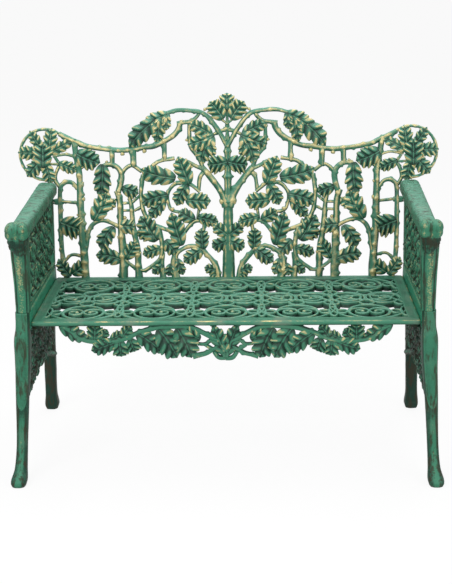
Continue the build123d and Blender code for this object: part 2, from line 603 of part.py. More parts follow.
def end_bolt_places():
    """Right end only: through the arm's upright, and through the rear leg."""
    upper = back_plane() * Pos(UPRIGHT_X + UPRIGHT_SIZE[0] / 2, sum(BACK_LUG[1:]) / 2)
    x, y, z = upper.position
    places = [((x, y, z), (1, 0, 0), M8, 55.0),
              ((RAIL_INNER + LEG_PAD[0], BACK_Y, RAIL_BOLT_Z), (1, 0, 0), M8, 55.0)]
    return places


def apron_screw_places():
    width, depth, height = APRON_LUG
    y = APRON_Y + APRON_LUG_SET + 0.6 * depth
    return both_ends([((x, y, UNDERSIDE - height), (0, 0, -1), M6, 16.0) for x in APRON_LUG_X])


def bearer_bolt_places():
    return both_ends([((SKIRT_X + PANEL_THICK / 2, y, BEARER_BOLT_Z), (1, 0, 0), M8, 45.0)
                      for y in BEARER_Y])


def place_frame(point, direction):
    return Plane(origin=point, z_dir=direction)


def drilled(places, gap):
    """Cylinders to cut for the shanks of these fasteners."""
    cuts = []
    for point, direction, size, length in places:
        shank = Cylinder((size + gap) / 2, length + 1, align=(Align.CENTER, Align.CENTER, Align.MAX))
        cuts.append(place_frame(point, direction) * shank)
    return cuts


def bolt(point, direction, size, length):
    """A hex bolt whose head sits on a washer at the point."""
    head = extrude(RegularPolygon(HEX_REACH * size, 6), HEAD_HEIGHT * size)
    shank = Pos(0, 0, -length) * Cylinder(size / 2, length, align=(Align.CENTER, Align.CENTER, Align.MIN))
    return place_frame(point, direction) * (Pos(0, 0, WASHER_THICK) * head + Pos(0, 0, WASHER_THICK) * shank)


def washer(point, direction, size, length=0):
    disc = Circle(size) - Circle((size + CLEARANCE) / 2)
    return place_frame(point, direction) * extrude(disc, WASHER_THICK)


def nut(point, direction, size, length=0):
    hexagon = RegularPolygon(HEX_REACH * size, 6) - Circle((size + TAPPED) / 2)
    return place_frame(point, direction) * extrude(hexagon, NUT_HEIGHT * size)


def stud(point, direction, size, length):
    shank = Cylinder(size / 2, length, align=(Align.CENTER, Align.CENTER, Align.MAX))
    return place_frame(point, direction) * shank


def group(maker, places):
    return Compound(children=[maker(*place) for place in places])


def inner_faces(places, thickness):
    """Where the nuts sit, a given thickness behind the washer's face."""
    return [((x - dx * thickness, y - dy * thickness, z - dz * thickness), (-dx, -dy, -dz), size, length)
            for (x, y, z), (dx, dy, dz), size, length in places]


# ---------------------------------------------------------------------------
# Every node of the bench
# ---------------------------------------------------------------------------
def nodes():
    arm, leg_frame = arm_right(), leg_frame_right()
    end_bolts = both_ends(end_bolt_places())
    rail_nuts = inner_faces(rail_bolt_places(), BACK_RAIL_THICK + REAR_FLANGE_THICK)
    bearer_nuts = inner_faces(bearer_bolt_places(), SKIRT_X + PANEL_THICK / 2 - SEAT_HALF + BEARER_THICK)
    return {
        "back_panel": back_panel(),
        "seat_panel": seat_panel(),
        "apron": apron(),
        "arm_right": arm,
        "arm_left": mirror(arm, Plane.YZ),
        "leg_frame_right": leg_frame,
        "leg_frame_left": mirror(leg_frame, Plane.YZ),
        "seat_bearer_front": seat_bearer(BEARER_Y[0]),
        "seat_bearer_rear": seat_bearer(BEARER_Y[1]),
        "post_studs": group(stud, stud_places()),
        "seat_bolts": group(bolt, seat_bolt_places()),
        "seat_washers": group(washer, seat_bolt_places()),
        "back_rail_bolts": group(bolt, rail_bolt_places()),
        "back_rail_washers": group(washer, rail_bolt_places()),
        "back_rail_nuts": group(nut, rail_nuts),
        "end_bolts": group(bolt, end_bolts),
        "end_washers": group(washer, end_bolts),
        "apron_screws": group(bolt, apron_screw_places()),
        "apron_washers": group(washer, apron_screw_places()),
        "bearer_bolts": group(bolt, bearer_bolt_places()),
        "bearer_washers": group(washer, bearer_bolt_places()),
        "bearer_nuts": group(nut, bearer_nuts),
    }


os.makedirs("parts", exist_ok=True)
for name, shape in nodes().items():
    export_step(shape, f"parts/{name}.step")
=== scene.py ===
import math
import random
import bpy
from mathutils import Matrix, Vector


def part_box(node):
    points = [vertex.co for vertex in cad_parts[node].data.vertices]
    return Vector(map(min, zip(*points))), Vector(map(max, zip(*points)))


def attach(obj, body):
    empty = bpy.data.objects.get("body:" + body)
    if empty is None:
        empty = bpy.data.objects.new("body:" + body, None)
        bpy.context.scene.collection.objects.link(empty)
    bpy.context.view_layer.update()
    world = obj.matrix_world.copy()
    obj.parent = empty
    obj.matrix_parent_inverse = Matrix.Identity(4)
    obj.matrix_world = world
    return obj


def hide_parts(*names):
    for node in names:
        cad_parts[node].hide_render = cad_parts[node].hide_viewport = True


bl_info = {
    "name": "Foliage Garden Bench",
    "version": (1, 0, 0),
    "blender": (4, 5, 0),
    "location": "View3D > Sidebar > Bench",
    "description": "Builds the cast foliage, patina and studio of a garden bench round its fixed frame",
    "category": "Object",
}

import bmesh
import bpy
import numpy as np
from mathutils import Matrix, Vector, noise

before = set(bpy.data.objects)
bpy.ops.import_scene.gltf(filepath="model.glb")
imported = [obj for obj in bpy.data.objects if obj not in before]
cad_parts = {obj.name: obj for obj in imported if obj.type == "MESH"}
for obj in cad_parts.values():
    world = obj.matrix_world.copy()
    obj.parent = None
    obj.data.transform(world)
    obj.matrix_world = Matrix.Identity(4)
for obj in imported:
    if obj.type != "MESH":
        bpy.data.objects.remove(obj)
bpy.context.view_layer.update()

MM = 0.001
ROOT = "root"
SIDES = (1, -1)

# Places that the castings share, in metres, taken from the frame
SEAT_LOW, SEAT_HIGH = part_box("seat_panel")
SEAT_TOP = SEAT_HIGH[2]
SEAT_HALF = SEAT_HIGH[0]

# The back leans, and is drawn on a squared grid: u outward, v up the panel
GRID = 2.86 * MM
RECLINE = math.radians(8)
BACK_Y = 216 * MM
ROSETTE = (182.5, 123.8)
ROSETTE_RADIUS = 25.2
ROSETTE_ARC = (-104, 150)
ROSETTE_RING = (3.1, 8 * MM)

# The apron hangs upright, drawn in cells: u outward, d down
APRON_Y = -187 * MM
APRON_CELL = (2.58 * MM, 2.81 * MM)

# The end castings, in millimetres
ARM_X, ARM_PANEL_X, SKIRT_X, UPRIGHT_X = 504, 509, 522, 518
ARM_TOP, ARM_SIZE, ARM_SPAN = 709, (46, 44), (-262, 236)
ARM_FLARE, HAIR_PITCH, HAIR_LIFT = (12, 6), 7.5, 0.9
SEAM, POST_Y, REAR_Y = 461, -205, 222
RAIL_INNER, RAIL_OUTER, LEDGE_INNER, LEDGE_BOTTOM = 503, 529, 474, 406
UNDERSIDE = 418

# Lugs, bosses and ledges that the bolts go through, in millimetres
BACK_LUG, BACK_LUG_SIZE = ((473, 249, 646), (503, 249, 646)), (16, 19)
APRON_LUGS, APRON_LUG_SPAN, APRON_LUG_Z, APRON_LUG_SIZE = (31, 142, 338), (-186, -166), 414, (20, 8)
LEDGES, LEDGE_Z, LEDGE_HEIGHT = ((-190, -107), (-73, 78), (112, 200)), 412, 11
BOSSES, BOSS_SPAN, BOSS_Z, BOSS_SIZE = (-90, 95), (503, 528), 388, (29, 29)
REAR_PAD, REAR_PAD_SIZE = ((520, 216, 391), (520, 216, 460)), (30, 33)

# Straight bars of the castings, in millimetres
UPRIGHT, UPRIGHT_SIZE, UPRIGHT_LENGTH = (UPRIGHT_X, 220.5, 462), (29, 32), 232
BACK_RAIL_Y, BACK_RAIL_Z, BACK_RAIL_SIZE = 216, 412, (14, 32)
SEAT_FLANGE, SEAT_FLANGE_SIZE = ((-470, 205, 413), (470, 205, 413)), (7.6, 33)
PANEL_SILL_Z, PANEL_SILL_SIZE = SEAM + 7, (12, 14)

# Side panels and skirts, in millimetres: a vine's sway, leaf length and leaf width,
# and how far apart the samples of a branch lie
ARM_VINE, SKIRT_VINE, PANEL_STEP = (10, 56, 34), (8, 50, 30), 3.5

# The seat's pattern, in millimetres: rings, arches, lenses, beads and scrolls
SEAT_COLUMNS, ROW_SHARE = 5, 0.345
END_RING, MIDDLE_RING = 54, 46
ARCH_RADIUS, ARCH_SET = 102, 40
LENS = (11, 37.4)
LARGE_BEAD, LARGE_BEAD_ROW = 20, 42
SMALL_BEAD, SMALL_BEAD_SET = 14, 72
END_SCROLL, END_SCROLL_SET = (30, 7, 1.4), 23
MIDDLE_SCROLL = (46, 9, 1.6)


# ---------------------------------------------------------------------------
# Foliage drawings, one half each.  Stems: points, start width, end width, and
# how far forward they lie.  Leaves: base, tip, width, bend, how far forward.
# ---------------------------------------------------------------------------
BACK_STEMS = [
    ([(154, 139), (151.2, 122), (148.8, 106), (148.6, 92), (148.4, 78), (148.2, 60), (147.6, 42), (146.3, 25),
      (145.7, 10), (145.2, -2)], 5.6, 8.5, 0),
    ([(151, 89), (155, 94.5), (160, 96.4), (165, 95), (168.5, 89), (169, 65), (168.6, 25),
      (165, -2)], 4, 5.2, 0),
    ([(168, 77), (149, 75)], 3.2, 3.2, 0),
    ([(166, 16), (161, 21.5), (156, 22.8), (149, 21)], 3.2, 3.2, 1),
    ([(168, 144.3), (160, 140.3), (150, 136), (142, 132.2), (126, 129.3), (105, 127.3), (84, 130),
      (73, 131.6), (62, 136.6), (53.5, 142), (48.6, 148), (47, 153.5)], 4.6, 5.8, 0),
    ([(50, 153.5), (43, 154.4), (36, 155.4), (30, 160), (27, 165)], 4.2, 3.8, 0),
    ([(60, 163.5), (52, 166), (44, 166.6), (36, 165.8), (29.5, 165), (23.5, 163), (18.6, 159.2),
      (13.4, 152.6), (8.4, 145.4), (4.2, 138), (0, 130)], 4, 5, 2),
    ([(175, 121.8), (162, 123.9), (151.5, 121.2)], 2.6, 3, 1),
    ([(172.8, 121), (168.5, 114.5)], 3, 3, 0),
    ([(179, 114.5), (169, 114)], 2.6, 2.6, 0),
    ([(169.2, 112), (172.6, 104.5), (173, 98), (169, 91)], 3.4, 3.8, 0),
    ([(151, 125.5), (143, 127), (136, 128.5)], 4, 3.4, 0),
    ([(115.6, 129), (115.6, 112)], 5.2, 5.2, 0),
    ([(94.3, 129), (94, 111)], 6, 6, 0),
    ([(62.8, 136.5), (62.8, 116)], 5, 5, 0),
    ([(128, 110), (121, 113.4), (114.4, 113), (109, 109), (106.4, 103), (107.4, 94.3),
      (110.5, 84)], 4.6, 6, 1),
    ([(106.4, 103), (103.5, 108), (99, 111.6), (94.5, 112), (86, 106)], 4.2, 3.8, 0),
    ([(149, 108.5), (142, 113), (134, 114.5)], 3.2, 3, 0),
    ([(78, 108.6), (72.7, 113.6), (66.9, 116.6), (53, 119)], 4, 4, 0),
    ([(40, 116), (37.3, 114.4), (31, 110.8), (24, 108)], 3.6, 4, 0),
    ([(25, 109.5), (18.6, 102), (10.6, 91.4), (5, 81.4), (2, 70)], 6, 7.4, 2),
    ([(24, 105), (27.8, 99), (29, 88)], 4.8, 3.4, 0),
    ([(37.5, 156.5), (37.8, 143), (36.4, 130), (28.6, 119.5), (24, 107)], 3.8, 4.4, 0),
    ([(112, 87), (108.8, 76), (108.4, 55), (107.6, 36), (106.8, 12), (106.6, -2)], 5.6, 8.8, 0),
    ([(99, 82), (97.2, 71), (96.6, 60), (94.8, 44), (92, 28), (91.6, 12), (91, -2)], 3.8, 7.8, 0),
    ([(108, 74.7), (97, 74.7)], 2.8, 2.8, 0),
    ([(108, 67), (96, 67.5)], 2.8, 2.8, 0),
    ([(96.5, 75), (88, 82.5)], 2.8, 2.8, 0),
    ([(94.5, 66.8), (85, 72)], 2.8, 2.8, 0),
    ([(85, 103), (86.6, 92), (87.4, 82), (85.6, 68), (80.8, 58), (75.4, 52.8), (66.6, 49),
      (58, 46)], 4.4, 4.4, 1),
    ([(52, 94.6), (45, 94.6), (38.3, 93.6), (28, 85.5)], 4, 4, 1),
    ([(49, 94.8), (55.5, 91.5), (60.6, 83), (59.6, 73), (56.5, 67), (48.6, 65)], 3.8, 3.4, 0),
    ([(146.5, 18), (143.4, 32), (141.6, 44), (137, 53), (128.4, 57.4), (119, 55.4), (108, 49.5)], 4.8, 4, 2),
    ([(105.3, 17.1), (99.7, 12.7), (94.5, 9), (89.3, 6.8), (84.9, 6.4), (79, 9.8), (73, 14), (69.4, 18),
      (67.4, 23.6), (67, 30.5), (67.8, 38.6), (70.4, 49.5)], 3.4, 5, 3),
    ([(10.4, -2), (12, 8), (15, 13.6), (18.6, 18.6), (22.4, 22.6), (26.2, 27), (31.4, 29.6), (37.6, 30.4),
      (43.8, 28.8), (50, 25), (52.6, 21), (52.2, 15), (49, 5)], 5.6, 3.6, 2),
    ([(9, 51), (16, 53), (28, 56.2), (34.5, 55.4), (40.5, 49.5), (45, 43)], 4, 4.2, 1),
    ([(28.8, 71), (31.2, 56)], 3, 3, 0),
    ([(23.6, 56), (25.5, 40)], 3.6, 3.2, 0),
    ([(53.5, 24), (55.5, 12), (53, -2)], 5, 9, 0),
    ([(66, 24), (67.5, 12), (66, -2)], 4.6, 7, 0),
    ([(14.5, 142), (7, 145.6), (-4, 148)], 3.4, 4, 0),
    ([(0, 152.5), (3.4, 155.4), (8, 158.2), (15, 159)], 2.4, 2.2, 3),
]
TRUNK = [
    (168, 2.6), (156, 3), (150, 4.6), (144, 3.4), (136, 5.6), (128.5, 6), (125.5, 8.4),
    (122, 6), (112, 6.2), (103.5, 7), (100.3, 12.2), (97, 7.6), (84, 7.4), (77.5, 9),
    (75, 12), (72, 9.4), (60, 9.6), (40, 10.4), (18, 11.4), (-1.5, 12.4),
]
BACK_KNOBS = [
    ((145.5, 79), 2.2), ((109.5, 84), 2.6), ((105, 124), 2.2), ((83, 126.5), 2.2), ((6, 75.5), 3),
    ((56, 68), 2.2), ((151, 63), 1.7), ((144.6, 47), 1.8), ((170, 29), 1.7), ((104, 60), 1.8),
    ((110.5, 40), 1.9), ((97.5, 58), 1.7), ((89.5, 24), 1.8), ((40.5, 137), 1.6), ((11, 91.5), 1.8),
    ((22, 167), 1.7), ((36, 110.5), 1.6), ((153.5, 112), 1.7), ((145.8, 95), 1.6), ((121, 116), 1.5),
]
BACK_LEAVES = [
    ((57, 162.5), (83, 151), 12, 0.03, 3), ((70, 157), (98, 130), 14.5, 0.05, 5),
    ((65, 161), (71, 133.8), 10, 0, 4), ((60, 163.5), (60.6, 146.5), 7.4, 0, 6),
    ((15, 141.5), (38.5, 153.5), 11, 0.03, 4), ((13, 141.5), (40, 132.5), 12.5, -0.05, 5),
    ((14.5, 141), (26, 112), 12.5, 0.08, 6), ((16.4, 139), (14.6, 118), 7, 0, 6),
    ((0, 166), (0, 183.2), 11.5, 0, 6), ((4, 157), (17.2, 174.8), 13.5, 0.04, 4),
    ((152, 125), (127.6, 115), 15, 0.05, 4), ((125, 114), (128.8, 80.5), 13.6, -0.04, 4),
    ((135.5, 57), (121, 88), 14.5, 0.05, 4), ((131, 70), (112, 79), 9, 0.1, 5),
    ((52, 99), (87.4, 108.6), 14.6, -0.06, 5), ((38.6, 93), (49.6, 121), 13.4, 0, 5),
    ((42.5, 77.5), (17, 76), 13.2, 0.03, 5), ((40.5, 92.5), (51.5, 71.5), 11, 0.05, 5),
    ((33.5, 57), (49.5, 66.5), 11, -0.05, 4), ((47.4, 31), (57.2, 65), 13.6, 0, 4),
    ((31, 60), (9.5, 54.6), 10.5, 0, 4), ((115.4, 51), (128, 26.6), 12.2, 0.1, 5),
    ((169, 55.5), (148.6, 47.4), 18, 0, 5), ((161, 0), (173, 18.5), 10, 0, 4),
    ((159, 3), (145, 14), 12.5, 0.05, 6), ((26, 28), (45.6, 14), 11.5, 0, 5), ((11, 5.5), (24.6, 9), 8, 0, 5),
    ((9, 1.5), (20, 2), 6, 0, 4), ((26, 27), (27, 49), 11.2, 0, 5), ((60, 82.4), (87.5, 73.4), 13, 0.05, 5),
    ((63, 77), (80, 59.4), 10, 0, 4), ((106, 90), (89.5, 84), 10.8, 0, 5),
    ((111, 51.8), (93, 50.5), 12, 0, 5), ((72, 36), (88.6, 61.5), 15, 0, 5),
    ((70, 40.6), (93, 44.6), 11, 0, 4), ((103.5, 18), (92, 36.4), 10.5, 0, 5),
    ((108, 17), (134.4, 22.4), 13, 0.06, 5), ((67.5, 29), (87, 22.6), 10, 0, 5),
    ((64, 37), (52, 23), 11, 0, 5), ((66, 12), (77.4, 3), 7.4, 0, 5), ((52, 18), (46, 1), 8, 0, 5),
    ((58, 13), (61, 0), 8, 0, 5), ((0, 115), (20.4, 112.6), 14, -0.06, 5), ((0, 41), (15, 52.6), 10, 0, 6),
    ((0, 36), (16.6, 29), 11, 0, 6),
]
ROSETTE_LEAVES = [
    ((-4, 3), (-7.4, 26.4), 11), ((3, 5), (15.3, 24), 8.8), ((5, 1.4), (27.6, 2.2), 11),
    ((3, -5), (19, -22), 11.4), ((-0.5, -8.8), (-5.2, -29.4), 10.6), ((-4, 0.7), (-29.4, 14.7), 8.4),
    ((-13.4, -8.8), (-32.4, -16.4), 9.4), ((1.8, -13.2), (1.6, 12.2), 14.5),
]
APRON_STEMS = [
    ([(166, 5), (157, 8.7), (149.3, 15.7), (141.5, 18.9), (131.7, 20.3), (119, 20.7), (108, 19.6), (98, 16.4),
      (90.3, 12.9), (79.8, 9.4), (69.3, 7), (61, 6.2), (46.5, 5.8), (33.5, 7), (22.8, 11.8), (16.8, 14.8),
      (11, 18), (5, 21.4), (2, 28.8), (0.4, 36)], 4.4, 5.2, 2),
    ([(33, 35.8), (25, 33.8), (18, 31.8), (8, 26), (0, 21)], 5, 4, 0),
    ([(13, 18), (20, 23.2), (28, 23.2)], 3.6, 3.6, 0),
    ([(20.5, 24), (12.5, 29)], 4, 4, 0),
    ([(11.5, 31), (7, 36.5), (0, 37.3)], 4.4, 4.4, 0),
    ([(97, 17), (92.5, 26)], 3, 2.8, 0),
]
APRON_LEAVES = [
    ((167, 3.4), (137.4, 18), 11.4, -0.05, 1), ((131.7, 20), (131, 5), 13, 0, 1),
    ((127, 19), (119, 9.4), 8, 0, 1), ((116, 19), (103.8, 12.6), 8, 0, 1), ((104, 18), (94, 6), 9.5, 0.1, 1),
    ((111, 21), (136, 29.4), 12.2, 0, 2), ((107, 19), (105.6, 36), 12.4, 0, 2),
    ((96, 18), (91.6, 30.6), 12, 0, 2), ((89, 12), (63, 32.4), 13.4, 0.05, 3),
    ((67, 8), (49, 37.8), 18, 0.05, 2), ((48, 7.5), (34.5, 37.8), 18, 0.05, 3),
    ((25, 18.5), (44, 9), 11, 0, 2), ((0, 34), (12, 5), 13, 0, 3),
]

# End castings: limbs as (x, y, z, width, depth) from the top down, in millimetres
POST_SECTIONS = [(515, -215, 672, 49, 48), (516, -212, 620, 46, 43), (516.5, -207, 540, 40.5, 37),
                 (518, -205, 480, 37.5, 35), (518.5, -205, 461, 37, 35)]
FRONT_LEG = [(521, -205, 461, 35.5, 35.5), (522, -208, 420, 35.5, 39.5), (523.5, -213, 385, 42.5, 47.5),
             (527.5, -210, 310, 39.5, 41.5), (534.5, -208, 225, 34.5, 33.5), (538.5, -213, 150, 30.5, 29.5),
             (541.5, -224, 85, 29.5, 28.5), (543.5, -243, 40, 32.5, 37.5), (546.5, -262, 14, 42, 55),
             (547, -263, 1, 36, 47)]
REAR_LEG = [(520.5, 222, 461, 33, 34), (521.5, 223, 400, 34, 34), (533, 228, 300, 36, 36),
            (539, 240, 140, 35, 34), (543, 254, 60, 34, 34), (545, 269, 14, 41, 49), (545, 270, 1, 35, 43)]
ARM_VINES = (-150, -90, -30, 30, 90, 150)
SKIRT_VINES = (-150, -85, -20, 45, 110, 170)
SKIRT_LOW = 247
ARM_SCROLL = [(POST_Y, 495), (-130, 535), (-40, 625), (80, 615), (170, 535), (224, 505)]
SKIRT_SCROLL = [(POST_Y, 390), (-130, 330), (-40, 375), (60, 330), (140, 370), (225, 330)]
SKIRT_EDGE = [(-203, 232), (-120, 243), (-47, 254), (40, 250), (130, 226), (228, 188)]


# How a casting's paint differs from verdigris's own values: the relief where gold
# starts and is full, the shares of gold, chalk with painted top light, bloom and
# grime, how the grime runs, the grain's size and strength, and the gloss.
FINISHES = {
    "back": {},
    "back_rail": dict(gilt=(0.8, 0.95)),
    "rim": dict(gilt=(0.88, 1.1), pale=0.12, patches=0.9, sheen=0.35),
    "lattice": dict(gilt=(0.66, 0.95), gilding=0.5),
    "apron": dict(gilt=(0.66, 0.95), gilding=0.65, pale=0.0, sheen=0.35),
    "arm": dict(gilt=(0.60, 0.95), gilding=0.48, pale=0.3, streaks=0.7, grains=(0.004, 1.3), sheen=0.2),
    "arm_rail": dict(gilt=(0.7, 1.0), pale=0.5, patches=0.9, streaks=0.9, run=(0.0036, (7, 1, 2)),
                     grains=(0.006, 0.6)),
    "leg": dict(gilt=(0.58, 0.92), gilding=0.6, pale=0.25, streaks=0.8, grains=(0.004, 1.3), sheen=0.2),
    "leg_rail": dict(gilt=(0.62, 0.9), gilding=0.4, pale=0.3, patches=0.3, streaks=0.45,
                     run=(0.009, (1, 5, 1)), grains=(0.006, 1.1), sheen=0.35, base="bright"),
}


# ---------------------------------------------------------------------------
# Settings that a user of the panel would change
# ---------------------------------------------------------------------------
def tint(name, description, red, green, blue):
    """A colour setting, written in the usual 0 to 255 values."""
    return bpy.props.FloatVectorProperty(name=name, description=description, subtype="COLOR_GAMMA", size=3,
                                         min=0, max=1, default=(red / 255, green / 255, blue / 255))


def measure(name, description, size, **limits):
    """A length setting, in metres."""
    return bpy.props.FloatProperty(name=name, description=description, default=size, unit="LENGTH",
                                   **limits)


class BenchPatina(bpy.types.PropertyGroup):
    verdigris: tint("Verdigris", "Green of the worn castings", 50, 112, 86)
    # Pale verdigris is chalky bloom and also painted top light: it is blended onto surfaces that face up.
    pale: tint("Pale verdigris", "Chalky green on surfaces that face the sky", 98, 156, 134)
    # Painted shade: the green that low relief turns to, standing in for shade in recesses, grooves and the
    # dimmed parts.
    shade: tint("Shade", "Deep green of the recesses", 18, 50, 38)
    grime: tint("Grime", "Brown-black of the streaks on posts and legs", 46, 42, 28)
    bright: tint("Bright verdigris", "Clean green of the side rails beside the seat", 34, 128, 98)
    gilt: tint("Gilt", "Rubbed gold on raised veins and edges", 200, 184, 130)
    stone: tint("Stone", "Grey-green bloom in patches", 92, 116, 98)
    bearer: tint("Bearer paint", "Black-green paint of the bars under the seat", 30, 48, 40)


class BenchFoliage(bpy.types.PropertyGroup):
    leaf_thickness: measure("Leaf thickness", "Metal at a leaf's edge", 4 * MM, min=1 * MM, max=10 * MM)
    leaf_fold: bpy.props.FloatProperty(name="Leaf fold",
                                       description="Height of the side veins, as a share of width",
                                       default=0.12, min=0, max=0.3)
    stem_depth: bpy.props.FloatProperty(name="Stem depth", description="Depth of a branch against its width",
                                        default=0.95, min=0.4, max=1.4)


class BenchSeat(bpy.types.PropertyGroup):
    rim_thickness: measure("Rim thickness", "Metal round the pierced seat", 12 * MM)
    rib_width: measure("Rib width", "Width of the pierced seat's ribs", 7 * MM)
    rib_depth: measure("Rib depth", "Depth of the pierced seat's ribs", 18 * MM)


class BenchStudio(bpy.types.PropertyGroup):
    camera: bpy.props.FloatVectorProperty(name="Camera", description="Where the camera stands", size=3,
                                          default=(0.0904, -3.1761, 1.4255),
                                          subtype="TRANSLATION", unit="LENGTH")
    lens: bpy.props.FloatProperty(name="Lens", description="Focal length in millimetres", default=75.2)
    turn: bpy.props.FloatVectorProperty(name="Turn", description="Pan, dip and roll of the camera", size=3,
                                        default=tuple(math.radians(a) for a in (-1.67, 17.11, -0.83)),
                                        subtype="EULER", unit="ROTATION")
    sky: bpy.props.FloatProperty(name="Sky", description="Strength of the even light from all round",
                                 default=0.55)
    floor: tint("Floor", "Colour of the studio floor", 236, 236, 236)


# ---------------------------------------------------------------------------
# Where the drawings go in space.  Each takes arrays of the drawing's two
# measures and of w, forward of the casting's middle in metres.
# ---------------------------------------------------------------------------
def on_back(side):
    """The leaning back: u and v in grid squares."""
    def place(u, v, w):
        up = v * GRID
        return np.stack([side * u * GRID + 0 * w,
                         BACK_Y + up * math.sin(RECLINE) - w * math.cos(RECLINE),
                         SEAT_TOP + up * math.cos(RECLINE) + w * math.sin(RECLINE)], -1)
    return place, GRID


def on_apron(side):
    """The upright apron: u and d in its own cells."""
    def place(u, d, w):
        return np.stack([side * u * APRON_CELL[0] + 0 * w, APRON_Y - w + 0 * u,
                         SEAT_TOP - d * APRON_CELL[1] + 0 * w], -1)
    return place, (APRON_CELL[0] + APRON_CELL[1]) / 2


def on_seat(x, y, w):
    """The seat: x and y in millimetres, w above its top."""
    return np.stack([x * MM + 0 * w, y * MM + 0 * w, SEAT_TOP + w + 0 * x], -1)


def on_side(x, side):
    """An end casting's side panel: y and z in millimetres, w toward the sitter."""
    def place(y, z, w):
        return np.stack([side * (x * MM - w) + 0 * y, y * MM + 0 * w, z * MM + 0 * w], -1)
    return place, MM


# ---------------------------------------------------------------------------
# Mesh making
# ---------------------------------------------------------------------------
class Casting:
    """Gathers closed grids of points into one mesh, with a relief value at each point."""

    def __init__(self):
        self.points, self.relief, self.faces, self.count = [], [], [], 0
        # Painted shade: an offset taken off the relief of every point added, so those points take more of the
        # shade green.
        self.painted_shade = 0.0

    def add(self, points, relief):
        start = self.count
        relief = np.broadcast_to(np.asarray(relief, float) - self.painted_shade, points.shape[:-1])
        self.points.append(points.reshape(-1, 3))
        self.relief.append(relief.reshape(-1))
        self.count += relief.size
        return start + np.arange(relief.size).reshape(relief.shape)

    def skin(self, index):
        """Quads between neighbouring rows and columns of a grid of point numbers."""
        quads = np.stack([index[:-1, :-1], index[1:, :-1], index[1:, 1:], index[:-1, 1:]], -1)
        self.faces += quads.reshape(-1, 4).tolist()

    def tube(self, points, relief):
        """Rows of points, each row a closed ring, with both ends closed."""
        index = self.add(points, relief)
        rings = np.hstack([index, index[:, :1]])
        self.skin(rings)
        for row in (0, -1):
            middle = int(self.add(points[row].mean(axis=0)[None, :], float(np.mean(relief)))[0])
            self.faces += [(int(a), int(b), middle) for a, b in zip(rings[row][:-1], rings[row][1:])]

    def hoop(self, points, relief):
        """Rows of points that join up both ways, as in a ring."""
        index = self.add(points, relief)
        index = np.vstack([index, index[:1]])
        self.skin(np.hstack([index, index[:, :1]]))

    def mesh(self, name):
        mesh = bpy.data.meshes.new(name)
        mesh.from_pydata(np.concatenate(self.points).tolist(), [], self.faces)
        relief = mesh.attributes.new("relief", "FLOAT", "POINT")
        relief.data.foreach_set("value", np.concatenate(self.relief).astype(np.float32))
        return mesh


def piece(name, mesh, material, nodes):
    """A smooth piece on the root body, with its material, in place of these nodes."""
    work = bmesh.new()
    work.from_mesh(mesh)
    bmesh.ops.remove_doubles(work, verts=work.verts, dist=1e-6)
    bmesh.ops.dissolve_degenerate(work, edges=work.edges, dist=1e-6)
    bmesh.ops.recalc_face_normals(work, faces=work.faces)
    work.to_mesh(mesh)
    work.free()
    mesh.materials.append(material)
    mesh.polygons.foreach_set("use_smooth", [True] * len(mesh.polygons))
    made = bpy.data.objects.new(name, mesh)
    bpy.context.scene.collection.objects.link(made)
    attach(made, ROOT)
    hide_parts(*nodes)


def smooth_line(points, per_span=8):
    """Samples of a curve through points with any number of measures (Catmull-Rom)."""
    points = np.asarray(points, float)
    ends = np.vstack([2 * points[0] - points[1], points, 2 * points[-1] - points[-2]])
    spans = len(points) - 1
    t = np.linspace(0, spans, spans * per_span + 1)
    k = np.minimum(t.astype(int), spans - 1)
    f = (t - k)[:, None]
    a, b, c, d = ends[k], ends[k + 1], ends[k + 2], ends[k + 3]
    return 0.5 * (2 * b + (c - a) * f + (2 * a - 5 * b + 4 * c - d) * f ** 2
                  + (3 * b - a - 3 * c + d) * f ** 3)


def evenly(line, step):
    """The same line with samples a step apart, measured in its first two columns."""
    length = np.concatenate([[0], np.cumsum(np.linalg.norm(np.diff(line[:, :2], axis=0), axis=1))])
    count = max(3, round(length[-1] / step) + 1)
    where = np.linspace(0, length[-1], count)
    return np.stack([np.interp(where, length, column) for column in line.T], -1), where


def wander(values, seed):
    """Smooth random values, mostly between -1 and 1, along an array of positions."""
    flat = np.ravel(values)
    waves = [noise.noise(Vector((float(v), seed * 7.31, seed * 1.7))) for v in flat]
    return 1.6 * np.array(waves).reshape(np.shape(values))


def around(count):
    return np.linspace(0, 2 * math.pi, count, endpoint=False)[None, :]


def bump_at(distance, spread):
    return np.exp(-(distance / spread) ** 2)


